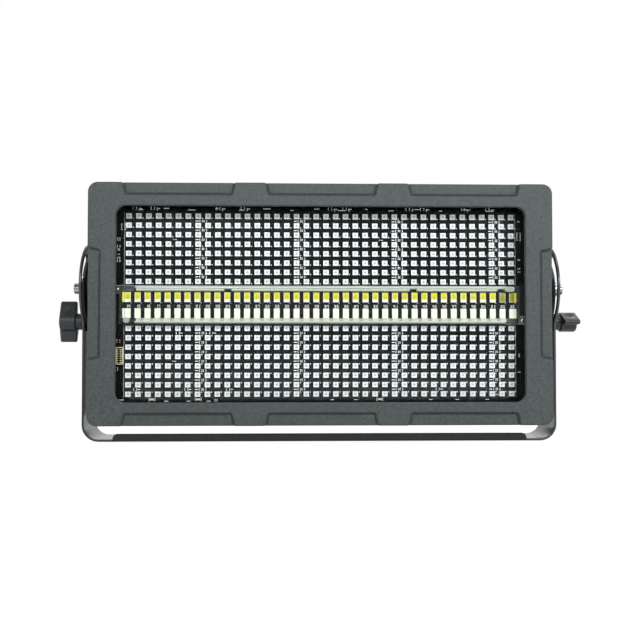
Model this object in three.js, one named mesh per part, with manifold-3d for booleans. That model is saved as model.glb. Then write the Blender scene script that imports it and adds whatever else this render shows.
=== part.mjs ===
// A stage strobe light: a wide, shallow lamp head that tilts on a U-shaped yoke.
// Millimetres, +Z up. The lamp faces -Y, and +X is to the right as seen from the front.
// The origin is on the floor, under the middle of the whole light.
// Inside the head, depths are counted back from the front of the bezel, and heights from its middle.

import * as THREE from 'three';
import { mergeGeometries, mergeVertices } from 'three/addons/utils/BufferGeometryUtils.js';
import Module from 'manifold-3d';

const wasm = await Module();
wasm.setup();

// Fits and facets shared by every piece
const gap = 0.3; // clearance where one piece seats on another
const overrun = 1; // how far a cutter passes the faces that it opens
const weld = 0.0001; // vertices nearer than this are one vertex
const sink = 0.4; // how far a boss starts inside the plate that carries it
const largeRoundSteps = 24;
const roundSteps = 14;
const smallRoundSteps = 8;
const cornerSteps = 2;

// Colour LED boards
const ledPitchX = 8.762;
const ledPitchZ = 8.336;
const ledWidth = 5.4;
const ledHeight = 5;
const ledThickness = 1.6;
const ledColumns = 40;
const ledRows = 8; // on each board
const boardThickness = 2;
const boardEdge = 0.5; // board below its lowest row of LEDs

// Front bezel
const windowMarginX = 4.95; // from the LEDs to the window's rim
const windowMarginZ = 3.8;
const windowCorner = 8.7;
const windowChamfer = 0.7;
const bezelBorderX = 24; // from the window's rim to the bezel's edge
const bezelBorderZ = 20.15;
const bezelDepth = 14;
const bezelCorner = 8.7;
const bezelEdge = 1.5; // rounding of the front edge
const bezelLip = 6; // depth of the window's own rim, in front of the glass
const recessDepth = 2.5; // the shallow pockets round the bezel's edge
const recessReach = 12.1; // how far in from the bezel's edge they come
const recessLength = 100.4; // along the edge
const recessTaper = 2.8; // how much shorter each end is at the inner side
const recessFillet = 2;
const recessEnd = 27.9; // from the bezel's corner to the first pocket
const recessesPerSide = 3;

// Glass, its gasket, and the frame that spaces it from the boards
const glassLap = 9.7; // how far the glass reaches past the window's rim
const glassCorner = 3;
const glassThickness = 2.5;
const gasketThickness = 1;
const gasketSetback = 1.3; // from the window's rim to the gasket
const spacerBorder = 5.2;

// Strobe strip
const strobeLedWidth = 4.9;
const strobeLedHeight = 8.6;
const strobeLedThickness = 1;
const strobeRowOffset = 7.1; // from the middle of the strip to each row
const strobeBoardThickness = 1.4;
const strobeBoardMargin = 0.3;
const railEnd = 9.05; // how far a light rail stops short of the LED rows' ends
const railHeight = 5.5; // how far the light rails stand forward
const railWidth = 3.7;
const railCrest = 1.4; // flat front of a light rail
const coverOverhang = 2.95; // how far the cover reaches past the LED rows' ends
const coverGlassGap = 1.6;
const coverLedGap = 6.6; // from the cover's face to the strobe LEDs' faces
const coverBoardGap = 0.64; // from the cover to the colour boards
const ledStep = 3.7; // how far the colour LEDs lie behind the strobe LEDs
const coverWall = 1.2;
const coverCorner = 2;
const endCapThickness = 1.6;
const earClearance = 0.4; // from an ear to the spacer frame
const earHeight = 10.5;
const earSlope = 4; // height that the ear's sloping edge takes
const earThickness = 1.8;
const earScrewRadius = 1.9;
const earScrewHead = 0.9;
const earScrewShank = 0.9;
const earScrewLength = 3.2;

// Heat sink and rear housing
const sinkBase = 4;
const sinkFinReach = 22;
const sinkFinThickness = 2;
const sinkFins = 18;
const sinkEndGap = 6.15; // from the heat sink's ends to the housing
const housingInset = 2.5; // how far the housing's sides lie inside the bezel's edge
const housingWall = 2;
const wiringRoom = 28.6; // from the power supply to the housing's back
const housingCorner = 8;
const housingChamfer = 3;
const ventWidth = 4;
const ventLength = 40;
const ventPitch = 24;
const vents = 10;
const ventStart = 38;

// Rear control panel, display and buttons
const panelFanGap = 10;
const panelTop = 17; // panel above the display
const panelThickness = 2;
const panelCorner = 4;
const panelBorder = 6; // how far the panel laps the housing's opening
const panelScrewInset = 3.2;
const panelScrewRadius = 1.1;
const panelScrewHeadRadius = 2.2;
const panelScrewHead = 1.6;
const panelScrewLength = 5;
const displayWidth = 64;
const displayHeight = 20;
const displayAbove = 48;
const displayFlange = 2;
const buttonRadius = 3.7;
const buttonProud = 1.8;
const buttonFlange = 1.4;
const buttonFlangeThickness = 1.2;
const buttonStemRadius = 1.5;
const buttonTravel = 0.8;
const buttonPitch = 22;
const buttonAbove = 20;
const buttonNames = ['menu_button', 'up_button', 'down_button', 'enter_button'];

// Sockets on the panel
const socketNames = ['power_inlet', 'power_outlet', 'signal_inlet', 'signal_outlet'];
const socketFlangeWidth = 26;
const socketFlangeHeight = 31;
const socketFlangeThickness = 2;
const socketBodyRadius = 11.7;
const socketBodyLength = 22; // behind the flange
const socketBoreRadius = 9.5;
const socketBoreLength = 13;
const socketSide = 21; // from the panel's side to the first socket
const socketBelow = 38;
const pinRadius = 1.2;
const pinCircle = 6;
const signalPinLength = 9;
const powerPinLength = 3;
const pinHoleDepth = 9;
const socketPins = 3;

// Electronics inside
const supplyFanGap = 15;
const supplyHeight = 96;
const supplyDepth = 21.7;
const supplyTerminalWidth = 20;
const supplyTerminalStep = 7;
const driverSetback = 5; // how far the driver board's ends lie inside the supply's
const driverSupplyGap = 4;
const driverEdge = 1; // from the driver board to the heat sink's top
const driverThickness = 1.6;
const driverPartSide = 14;
const driverPartReach = 12;
const driverParts = 6;
const driverPartMargin = 15.5;
const controlSide = 11; // board past the first and last switch
const controlAbove = 6; // board above the display
const controlBelow = 10; // board below the switches
const controlThickness = 1.6;
const controlStandoff = 14.8; // from the control board to the panel
const postRadius = 2.5;
const postInset = 4;
const switchSide = 6;
const displayModuleDepth = 8;

// Cooling fans
const fanSide = 80;
const fanDepth = 25;
const fanSideGap = 8; // from a fan to the housing's side
const fanWall = 2.4; // of a fan's frame, at its thinnest
const fanFrameCorner = 5;
const fanHubRadius = 17;
const fanTipGap = 1.2;
const fanBladeThickness = 1.6;
const fanBladeAngle = 0.75; // from the axle to a blade, in radians
const fanBlades = 7;
const fanCapThickness = 1.2;
const fanAxleRadius = 2;
const fanStrutWidth = 5;
const fanStrutDepth = 3;
const fanStruts = 4;
const guardThickness = 1.5;
const guardBar = 1.8;
const guardRings = 3;
const guardSpokes = 4;
const guardHub = 11;
const guardSteps = 4;

// Safety loop on the back
const loopRod = 5; // diameter of the bent rod
const loopSpan = 28; // between the legs' middles
const loopStraight = 6;
const loopBend = 7;
const loopPanelGap = 12;
const loopSides = 5;
const loopTurns = 4;

// Yoke bracket
const armClearance = 10; // from the housing's side to an arm
const yokeThickness = 2;
const yokeBend = 15; // outside of the bottom corners
const yokeDepth = 50;
const headClearance = 13.65; // from the yoke's base to the bezel
const pivotDepth = 50; // behind the bezel's front
const pivotAboveCentre = 16; // above the middle of the head
const discRim = 4.3; // of the disc, outside the curved slot
const slotRadius = 30.3; // of the middle of the curved slot, and of the lock's own place
const slotWidth = 10.8;
const slotSweep = (142 * Math.PI) / 180; // to each side of straight down
const slotSteps = 20;
const slotEndSteps = 6;
const discSteps = 36;
const lipEnd = 27.3; // from an arm's outside to the lip's end
const lipHeight = 7;
const lipCorner = 4.5;
const clampHoleRadius = 6.5;

// Side bosses, friction pads and pivots
const lugWall = 2.7; // round the stud's hole
const padThickness = 2;
const bushFlange = 5; // how far the bush's flange stands out from its sleeve
const bushFlangeThickness = 3;
const bushWall = 2.7;
const springWidth = 3.7;
const springDiscs = 3;
const springDiscThickness = 1.3;
const springDiscDish = 0.5;
const boltRadius = 3;
const boltHeadLap = 2;
const boltHeadHeight = 6;
const boltSocketRadius = 2.9;
const boltSocketDepth = 3.5;
const hexSides = 6;
const blindHoleFloor = 1.2; // metal left under a blind hole

// Locks
const lockWasherWidth = 2.3;
const lockWasherThickness = 1.5;
const studClearance = 0.5; // from the stud to the curved slot's sides
const studInKnob = 17.5;
const knobNeckWall = 2.3;
const knobNeckLength = 8;
const knobHubWall = 3.8;
const knobDepth = 16;
const knobHalfSpan = 18.6;
const knobTipHalf = 2.4;
const knobDome = 1.2;
const wingSteps = 3;

// Places that follow from the sizes above
const gridWidth = (ledColumns - 1) * ledPitchX + ledWidth;
const strobeBoardHalf = strobeRowOffset + strobeLedHeight / 2 + strobeBoardMargin;
const railInner = strobeBoardHalf + gap;
const railOuter = railInner + railWidth;
const coverInnerHalf = railOuter + gap;
const coverHeight = 2 * (coverInnerHalf + coverWall);
const boardBottom = coverHeight / 2 + coverBoardGap;
const firstRow = boardBottom + boardEdge + ledHeight / 2;
const gridHeight = 2 * firstRow + 2 * (ledRows - 1) * ledPitchZ + ledHeight;
const windowWidth = gridWidth + 2 * windowMarginX;
const windowHeight = gridHeight + 2 * windowMarginZ;
const glassWidth = windowWidth + 2 * glassLap;
const glassHeight = windowHeight + 2 * glassLap;
const gasketBorder = glassLap - gasketSetback;
const bezelWidth = windowWidth + 2 * bezelBorderX;
const bezelHeight = windowHeight + 2 * bezelBorderZ;
const recessSpacing = bezelWidth / 2 - recessEnd - recessLength / 2;
const housingWidth = bezelWidth - 2 * housingInset;
const housingHeight = bezelHeight - 2 * housingInset;
const housingFront = bezelDepth + gap;
const cavityWidth = housingWidth - 2 * housingWall;
const cavityHeight = housingHeight - 2 * housingWall;
const gasketFront = bezelLip + gap;
const glassFront = gasketFront + gasketThickness + gap;
const spacerFront = glassFront + glassThickness + gap;
const coverDepth = glassFront + glassThickness + coverGlassGap;
const strobeLedDepth = coverDepth + coverLedGap;
const ledDepth = strobeLedDepth + ledStep;
const boardFront = ledDepth + ledThickness;
const boardBack = boardFront + boardThickness;
const sinkFront = boardBack + gap;
const finFront = sinkFront + sinkBase;
const finBack = finFront + sinkFinReach;
const sinkHeight = cavityHeight - 2 * sinkEndGap;
const supplyFront = finBack + gap;
const supplyBack = supplyFront + supplyDepth;
const housingBack = supplyBack + wiringRoom;
const panelFront = housingBack + gap;
const panelBack = panelFront + panelThickness;
const fanOffset = cavityWidth / 2 - fanSideGap - fanSide / 2;
const fanBore = fanSide / 2 - fanWall;
const fanBladeTip = fanBore - fanTipGap;
const guardRadius = fanSide / 2;
const panelWidth = 2 * (fanOffset - guardRadius - panelFanGap);
const panelHeight = 2 * (displayAbove + displayHeight / 2 + panelTop);
const supplyWidth = 2 * (fanOffset - fanSide / 2 - supplyFanGap);
const driverWidth = supplyWidth - 2 * driverSetback;
const driverBottom = supplyHeight / 2 + driverSupplyGap;
const driverTop = sinkHeight / 2 - driverEdge;
const driverPartPitch = (driverWidth - 2 * driverPartMargin - driverPartSide) / (driverParts - 1);
const controlDepth = panelFront - controlStandoff;
const controlWidth = (buttonNames.length - 1) * buttonPitch + 2 * controlSide;
const controlTop = displayAbove + displayHeight / 2 + controlAbove;
const controlBottom = buttonAbove - controlBelow;
const socketPitch = (panelWidth - 2 * socketSide - socketFlangeWidth) / (socketNames.length - 1);
const loopAbove = panelHeight / 2 + loopPanelGap;
const carrierHalfHeight = boardBottom - gap;
const carrierLength = glassWidth - 2 * spacerBorder - 2 * gap;
const strobeBoardFront = strobeLedDepth + strobeLedThickness;
const strobeBoardBack = strobeBoardFront + strobeBoardThickness;
const carrierFront = strobeBoardBack + gap;
const coverLength = gridWidth + 2 * coverOverhang;
const railLength = gridWidth - 2 * railEnd;
const endCapInner = coverLength / 2 + gap;
const endCapOuter = endCapInner + endCapThickness;
const earReach = glassWidth / 2 - spacerBorder - earClearance - endCapOuter;
const earBack = carrierFront - gap;
const earTop = coverHeight / 2;
const loopBack = panelFront + loopStraight + loopBend + loopRod / 2;
const overallDepth = loopBack;
const yokeHalfWidth = housingWidth / 2 + armClearance + yokeThickness;
const pivotHeight = yokeThickness + headClearance + bezelHeight / 2 + pivotAboveCentre;
const lipLength = 2 * (yokeHalfWidth - lipEnd);
const discRadius = slotRadius + slotWidth / 2 + discRim;
const studRadius = slotWidth / 2 - studClearance;
const lugRadius = studRadius + gap + lugWall;
const lockWasherRadius = studRadius + gap + lockWasherWidth;
const knobNeckRadius = studRadius + gap + knobNeckWall;
const knobHubRadius = studRadius + gap + knobHubWall;
const bossRadius = slotRadius - slotWidth / 2;
const bushSleeveRadius = boltRadius + gap + bushWall;
const bushFlangeRadius = bushSleeveRadius + bushFlange;
const springRadius = boltRadius + gap + springWidth;
const boltHeadRadius = boltRadius + boltHeadLap;
const bossInner = housingWidth / 2 + gap;
const padOuter = yokeHalfWidth - yokeThickness - gap;
const padInner = padOuter - padThickness;
const bossOuter = padInner - gap;
const bushFace = yokeHalfWidth + gap;
const springInner = bushFace + bushFlangeThickness + gap;
const springPitch = springDiscThickness;
const springOuter = springInner + springDiscs * springPitch;
const boltHeadInner = springOuter + gap;
const holeEnd = bossInner + blindHoleFloor;
const washerInner = yokeHalfWidth + gap;
const knobInner = washerInner + lockWasherThickness + gap;
const wingInner = knobInner + knobNeckLength;
const knobOuter = wingInner + knobDepth;
const headCentreHeight = pivotHeight - pivotAboveCentre;
const lockAboveCentre = pivotAboveCentre - slotRadius;

// Finishes
function finish(color, roughness, metalness) {
  return new THREE.MeshStandardMaterial({ color, roughness, metalness });
}
const blackPowder = finish(0x222628, 0.45, 0.2);
const greyPlastic = finish(0x585e5c, 0.6, 0);
const blackPlastic = finish(0x1c2022, 0.4, 0);
const rubber = finish(0x141414, 0.9, 0);
const fibre = finish(0x18191a, 0.85, 0);
const steel = finish(0x9a9da0, 0.3, 1);
const darkSteel = finish(0x3c4043, 0.35, 0.9);
const aluminium = finish(0xa9adb0, 0.4, 1);
const clear = new THREE.MeshStandardMaterial({
  color: 0xf4f8f8,
  roughness: 0.05,
  metalness: 0,
  transparent: true,
  opacity: 0.25,
});
const smoked = finish(0x10181a, 0.15, 0);
const ledBoard = finish(0x16181a, 0.6, 0);
const strobeBoard = finish(0xe8e4a0, 0.5, 0);
const paleRail = finish(0xc8d0c3, 0.35, 0);
const greenBoard = finish(0x24502e, 0.6, 0);
const steelCase = finish(0x8d9092, 0.45, 0.9);

// A closed geometry as a solid that can be joined and cut
function solidFrom(geometry) {
  const bare = geometry.clone();
  bare.deleteAttribute('normal');
  bare.deleteAttribute('uv');
  const merged = mergeVertices(bare, weld);
  const index = merged.index.array;
  const corners = [];
  for (let i = 0; i < index.length; i += 3) {
    const [a, b, c] = [index[i], index[i + 1], index[i + 2]];
    if (a !== b && b !== c && c !== a) corners.push(a, b, c);
  }
  const vertProperties = merged.attributes.position.array;
  return new wasm.Manifold(new wasm.Mesh({ numProp: 3, vertProperties, triVerts: new Uint32Array(corners) }));
}

function geometryFrom(solid) {
  const { vertProperties, triVerts } = solid.getMesh();
  const geometry = new THREE.BufferGeometry();
  geometry.setAttribute('position', new THREE.BufferAttribute(vertProperties, 3));
  geometry.setIndex(new THREE.BufferAttribute(triVerts, 1));
  const flat = geometry.toNonIndexed();
  flat.computeVertexNormals();
  return flat;
}

function place(parent, name, solid, material, x = 0, z = 0) {
  const mesh = new THREE.Mesh(geometryFrom(solid), material);
  mesh.name = name;
  mesh.position.set(x, 0, z);
  parent.add(mesh);
  return mesh;
}

function joined(solids) {
  return solids.reduce((whole, next) => whole.add(next));
}

function boxGeometry(x0, x1, y0, y1, z0, z1) {
  const geometry = new THREE.BoxGeometry(x1 - x0, y1 - y0, z1 - z0);
  return geometry.translate((x0 + x1) / 2, (y0 + y1) / 2, (z0 + z1) / 2);
}

function block(x0, x1, y0, y1, z0, z1) {
  return solidFrom(boxGeometry(x0, x1, y0, y1, z0, z1));
}

// Outlines drawn as seen from the front, given depth from front to back
function frontGeometry(shape, front, back, curveSegments = cornerSteps) {
  const settings = { depth: back - front, bevelEnabled: false, curveSegments };
  const geometry = new THREE.ExtrudeGeometry(shape, settings);
  return geometry.rotateX(Math.PI / 2).translate(0, back, 0);
}

function frontPlate(shape, front, back, curveSegments) {
  return solidFrom(frontGeometry(shape, front, back, curveSegments));
}

// Outlines drawn with x running back and y up, given width across the light on one side
function sidePlate(shape, inner, outer, side, curveSegments = cornerSteps) {
  const settings = { depth: outer - inner, bevelEnabled: false, curveSegments };
  const geometry = new THREE.ExtrudeGeometry(shape, settings);
  const across = new THREE.Matrix4().makeBasis(
    new THREE.Vector3(0, 1, 0),
    new THREE.Vector3(0, 0, 1),
    new THREE.Vector3(1, 0, 0),
  );
  geometry.applyMatrix4(across);
  return solidFrom(geometry.translate(side > 0 ? inner : -outer, 0, 0));
}

function arcPoints(x, y, radius, start, end, steps) {
  return Array.from({ length: steps + 1 }, (_, i) => {
    const angle = start + ((end - start) * i) / steps;
    return new THREE.Vector2(x + radius * Math.cos(angle), y + radius * Math.sin(angle));
  });
}

function discOutline(radius, steps, x = 0, y = 0) {
  return new THREE.Shape(arcPoints(x, y, radius, 0, 2 * Math.PI, steps).slice(1));
}

// A turned piece round the Y axis: rows of [place along the axis, radius], from its low end up
function turned(rows, steps) {
  const [first, last] = [rows[0], rows[rows.length - 1]];
  const closed = [[first[0], 0], ...rows, [last[0], 0]];
  const points = closed.map(([along, radius]) => new THREE.Vector2(radius, along));
  return new THREE.LatheGeometry(points, steps);
}

function turnedBack(rows, x = 0, z = 0, steps = roundSteps) {
  return solidFrom(turned(rows, steps).translate(x, 0, z));
}

function turnedOut(rows, side, z = 0, steps = roundSteps) {
  return solidFrom(turned(rows, steps).rotateZ((-side * Math.PI) / 2).translate(0, 0, z));
}

function upright(radius, bottom, top, x, y, steps = roundSteps) {
  const rows = [[bottom, radius], [top, radius]];
  return solidFrom(turned(rows, steps).rotateX(Math.PI / 2).translate(x, y, 0));
}

function roundedRectangle(width, height, radius) {
  const shape = new THREE.Shape();
  const [w, h] = [width / 2, height / 2];
  shape.moveTo(-w + radius, -h);
  shape.absarc(w - radius, -h + radius, radius, -Math.PI / 2, 0);
  shape.absarc(w - radius, h - radius, radius, 0, Math.PI / 2);
  shape.absarc(-w + radius, h - radius, radius, Math.PI / 2, Math.PI);
  shape.absarc(-w + radius, -h + radius, radius, Math.PI, 1.5 * Math.PI);
  return shape;
}

// A solid through rounded rectangles that lie one behind another: [depth, inset] rows, front to back
function drawnBack(width, height, radius, rows) {
  const rings = rows.map(([depth, inset]) => {
    const corner = Math.max(radius - inset, weld);
    const outline = roundedRectangle(width - 2 * inset, height - 2 * inset, corner);
    const points = outline.extractPoints(cornerSteps).shape;
    return points.slice(0, points.length - 1).map((p) => [p.x, depth, p.y]);
  });
  const count = rings[0].length;
  const corners = [];
  for (let r = 0; r + 1 < rings.length; r++) {
    for (let i = 0; i < count; i++) {
      const [a, b] = [r * count + i, r * count + ((i + 1) % count)];
      corners.push(a, a + count, b, b, a + count, b + count);
    }
  }
  const last = (rings.length - 1) * count;
  for (let i = 1; i + 1 < count; i++) {
    corners.push(0, i, i + 1, last, last + i + 1, last + i);
  }
  const geometry = new THREE.BufferGeometry();
  geometry.setAttribute('position', new THREE.Float32BufferAttribute(rings.flat(2), 3));
  geometry.setIndex(corners);
  return solidFrom(geometry);
}

function frame(width, height, corner, border, front, back) {
  const outer = drawnBack(width, height, corner, [[front, 0], [back, 0]]);
  const hole = [[front - overrun, border], [back + overrun, border]];
  return outer.subtract(drawnBack(width, height, corner, hole));
}

// A pocket at the bezel's edge: open on the outside, shorter on the inside, with small fillets there
function recessOutline(edge) {
  const [outer, inner] = [recessLength / 2, recessLength / 2 - recessTaper];
  const bottom = edge - recessReach;
  const shape = new THREE.Shape();
  shape.moveTo(outer, edge + overrun);
  shape.lineTo(-outer, edge + overrun);
  shape.lineTo(-outer, edge);
  shape.lineTo(-inner - (recessTaper * recessFillet) / recessReach, bottom + recessFillet);
  shape.quadraticCurveTo(-inner, bottom, -inner + recessFillet, bottom);
  shape.lineTo(inner - recessFillet, bottom);
  shape.quadraticCurveTo(inner, bottom, inner + (recessTaper * recessFillet) / recessReach, bottom + recessFillet);
  shape.lineTo(outer, edge);
  return shape;
}

function recess(edge, shift, turn) {
  const cutter = frontGeometry(recessOutline(edge), -overrun, recessDepth);
  return solidFrom(cutter.translate(shift, 0, 0).rotateY(turn));
}

function bezel() {
  const halfEdge = bezelEdge * (1 - Math.SQRT1_2);
  const outside = [[0, bezelEdge], [halfEdge, halfEdge], [bezelEdge, 0], [bezelDepth, 0]];
  const body = drawnBack(bezelWidth, bezelHeight, bezelCorner, outside);
  const flare = windowChamfer + overrun;
  const opening = [[-overrun, -flare], [windowChamfer, 0], [bezelDepth + overrun, 0]];
  const pocket = [[bezelLip, -gap], [bezelDepth + overrun, -gap]];
  const cutters = [
    drawnBack(windowWidth, windowHeight, windowCorner, opening),
    drawnBack(glassWidth, glassHeight, glassCorner, pocket),
    recess(bezelWidth / 2, 0, Math.PI / 2),
    recess(bezelWidth / 2, 0, -Math.PI / 2),
  ];
  for (let i = 0; i < recessesPerSide; i++) {
    const shift = (i - (recessesPerSide - 1) / 2) * recessSpacing;
    cutters.push(recess(bezelHeight / 2, shift, 0), recess(bezelHeight / 2, shift, Math.PI));
  }
  return body.subtract(joined(cutters));
}

// LED packages as one set of boxes, ready to be joined to their board
function ledBoxes(rows, width, height, front, back) {
  const boxes = [];
  for (const z of rows) {
    for (let i = 0; i < ledColumns; i++) {
      const x = (i - (ledColumns - 1) / 2) * ledPitchX;
      boxes.push(boxGeometry(x - width / 2, x + width / 2, front, back, z - height / 2, z + height / 2));
    }
  }
  return solidFrom(mergeGeometries(boxes));
}

function colourBoard(up) {
  const rows = Array.from({ length: ledRows }, (_, i) => up * (firstRow + i * ledPitchZ));
  const leds = ledBoxes(rows, ledWidth, ledHeight, ledDepth, boardFront + sink);
  const [low, high] = [boardBottom, glassHeight / 2].map((z) => up * z).sort((a, b) => a - b);
  return block(-glassWidth / 2, glassWidth / 2, boardFront, boardBack, low, high).add(leds);
}

function strobeLedBoard() {
  const rows = [strobeRowOffset, -strobeRowOffset];
  const back = strobeBoardFront + sink;
  const leds = ledBoxes(rows, strobeLedWidth, strobeLedHeight, strobeLedDepth, back);
  const half = coverLength / 2 - gap;
  return block(-half, half, strobeBoardFront, strobeBoardBack, -strobeBoardHalf, strobeBoardHalf).add(leds);
}

function lightRail(up) {
  const front = strobeBoardBack - railHeight;
  const shape = new THREE.Shape();
  shape.moveTo(strobeBoardBack, up * railInner);
  shape.lineTo(strobeBoardBack, up * railOuter);
  shape.lineTo(front, up * railOuter);
  shape.lineTo(front, up * (railOuter - railCrest));
  return sidePlate(shape, -railLength / 2, railLength / 2, 1);
}

function strobeCover() {
  const [half, corner] = [coverHeight / 2, coverCorner];
  const inner = half - coverWall;
  const [front, back] = [coverDepth, carrierFront - gap];
  const shape = new THREE.Shape();
  shape.moveTo(back, -half);
  shape.lineTo(back, -inner);
  shape.lineTo(front + coverWall, -inner);
  shape.lineTo(front + coverWall, inner);
  shape.lineTo(back, inner);
  shape.lineTo(back, half);
  shape.absarc(front + corner, half - corner, corner, Math.PI / 2, Math.PI);
  shape.absarc(front + corner, -half + corner, corner, Math.PI, 1.5 * Math.PI);
  return sidePlate(shape, -coverLength / 2, coverLength / 2, 1);
}

// The left end's ear is at the top and the right end's at the bottom
function endCap(side) {
  const up = -side;
  const [inner, outer] = [endCapInner, endCapOuter];
  const wall = block(
    side > 0 ? inner : -outer,
    side > 0 ? outer : -inner,
    coverDepth,
    earBack,
    -coverHeight / 2,
    coverHeight / 2,
  );
  const ear = new THREE.Shape();
  ear.moveTo(side * inner, up * earTop);
  ear.lineTo(side * (outer + earReach), up * earTop);
  ear.lineTo(side * (outer + earReach), up * (earTop - earHeight + earSlope));
  ear.lineTo(side * inner, up * (earTop - earHeight));
  const hole = [[earBack - earThickness - overrun, earScrewShank + gap], [earBack + overrun, earScrewShank + gap]];
  const plate = frontPlate(ear, earBack - earThickness, earBack);
  return wall.add(plate).subtract(turnedBack(hole, ...earScrewPlace(side), smallRoundSteps));
}

function earScrewPlace(side) {
  return [side * (endCapOuter + earReach / 2), -side * (earTop - (earHeight - earSlope) / 2)];
}

function earScrew(side) {
  const face = earBack - earThickness - gap;
  const rows = [
    [face - earScrewHead, earScrewRadius],
    [face, earScrewRadius],
    [face, earScrewShank],
    [face + earScrewLength, earScrewShank],
  ];
  return turnedBack(rows, ...earScrewPlace(side), smallRoundSteps);
}

function strobeCarrier() {
  const half = carrierHalfHeight;
  const body = block(-carrierLength / 2, carrierLength / 2, carrierFront, boardBack, -half, half);
  const holes = [1, -1].map((side) => {
    const rows = [[carrierFront - overrun, earScrewShank + gap], [boardBack + overrun, earScrewShank + gap]];
    return turnedBack(rows, ...earScrewPlace(side), smallRoundSteps);
  });
  return body.subtract(joined(holes));
}

// A base plate with upright fins on its back
function heatSink() {
  const half = cavityWidth / 2 - gap;
  const shape = new THREE.Shape();
  shape.moveTo(-half, sinkFront);
  shape.lineTo(half, sinkFront);
  shape.lineTo(half, finFront);
  const pitch = (2 * half - sinkFinThickness) / (sinkFins + 1);
  for (let i = sinkFins; i > 0; i--) {
    const x = -half + i * pitch;
    shape.lineTo(x + sinkFinThickness, finFront);
    shape.lineTo(x + sinkFinThickness, finBack);
    shape.lineTo(x, finBack);
    shape.lineTo(x, finFront);
  }
  shape.lineTo(-half, finFront);
  const settings = { depth: sinkHeight, bevelEnabled: false };
  return solidFrom(new THREE.ExtrudeGeometry(shape, settings).translate(0, 0, -sinkHeight / 2));
}

const panelScrewPlaces = [[1, 1], [1, -1], [-1, 1], [-1, -1]].map(([right, up]) => [
  right * (panelWidth / 2 - panelScrewInset),
  up * (panelHeight / 2 - panelScrewInset),
]);

function rearHousing() {
  const back = housingBack - housingChamfer;
  const outside = [[housingFront, 0], [back, 0], [housingBack, housingChamfer]];
  const inside = [[housingFront - overrun, 0], [housingBack - housingWall, 0]];
  const body = drawnBack(housingWidth, housingHeight, housingCorner, outside);
  const cutters = [
    drawnBack(cavityWidth, cavityHeight, housingCorner - housingWall, inside),
    block(
      -panelWidth / 2 + panelBorder,
      panelWidth / 2 - panelBorder,
      housingBack - housingWall - overrun,
      housingBack + overrun,
      -panelHeight / 2 + panelBorder,
      panelHeight / 2 - panelBorder,
    ),
  ];
  const through = [housingBack - housingWall - overrun, housingBack + overrun];
  for (const side of [1, -1]) {
    const rows = through.map((y) => [y, fanBore]);
    cutters.push(turnedBack(rows, side * fanOffset, 0, largeRoundSteps));
  }
  for (const [x, z] of panelScrewPlaces) {
    const rows = through.map((y) => [y, panelScrewRadius + gap]);
    cutters.push(turnedBack(rows, x, z, smallRoundSteps));
  }
  const ventEnd = ventStart + ventLength;
  const reach = housingHeight / 2 + overrun;
  const floor = cavityHeight / 2 - overrun;
  for (let i = 0; i < vents; i++) {
    const x = (i - (vents - 1) / 2) * ventPitch;
    for (const [low, high] of [[floor, reach], [-reach, -floor]]) {
      cutters.push(block(x - ventWidth / 2, x + ventWidth / 2, ventStart, ventEnd, low, high));
    }
  }
  return body.subtract(joined(cutters));
}

function buttonPlaces() {
  return buttonNames.map((name, i) => [name, (i - (buttonNames.length - 1) / 2) * buttonPitch]);
}

function socketPlaces() {
  return socketNames.map((name, i) => [name, (i - (socketNames.length - 1) / 2) * socketPitch]);
}

function controlPanel() {
  const outline = roundedRectangle(panelWidth, panelHeight, panelCorner);
  const through = [panelFront - overrun, panelBack + overrun];
  const hole = (radius, x, z, steps) => turnedBack(through.map((y) => [y, radius]), x, z, steps);
  const cutters = [
    block(
      -displayWidth / 2,
      displayWidth / 2,
      ...through,
      displayAbove - displayHeight / 2,
      displayAbove + displayHeight / 2,
    ),
    ...buttonPlaces().map(([, x]) => hole(buttonRadius + gap, x, buttonAbove, roundSteps)),
    ...socketPlaces().map(([, x]) => hole(socketBodyRadius + gap, x, -socketBelow, roundSteps)),
    ...panelScrewPlaces.map(([x, z]) => hole(panelScrewRadius + gap, x, z, smallRoundSteps)),
  ];
  return frontPlate(outline, panelFront, panelBack).subtract(joined(cutters));
}

function displayWindow() {
  const [w, h] = [displayWidth / 2 - gap, displayHeight / 2 - gap];
  const pane = block(-w, w, panelFront - gap, panelBack, displayAbove - h, displayAbove + h);
  const [fw, fh] = [w + displayFlange, h + displayFlange];
  const back = panelFront - gap;
  return pane.add(block(-fw, fw, back - panelThickness, back, displayAbove - fh, displayAbove + fh));
}

function panelScrew() {
  const face = panelBack + gap;
  const rows = [
    [face - panelScrewLength, panelScrewRadius],
    [face, panelScrewRadius],
    [face, panelScrewHeadRadius],
    [face + panelScrewHead, panelScrewHeadRadius],
  ];
  return turnedBack(rows, 0, 0, smallRoundSteps);
}

// A button's cap stands proud of the panel, and its stem ends just clear of its switch's travel
const switchFace = controlDepth + controlThickness + switchSide / 2;
function button() {
  const flangeBack = panelFront - gap;
  const rows = [
    [switchFace + buttonTravel + gap, buttonStemRadius],
    [flangeBack - buttonFlangeThickness, buttonStemRadius],
    [flangeBack - buttonFlangeThickness, buttonRadius + buttonFlange],
    [flangeBack, buttonRadius + buttonFlange],
    [flangeBack, buttonRadius],
    [panelBack + buttonProud, buttonRadius],
  ];
  return turnedBack(rows);
}

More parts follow.
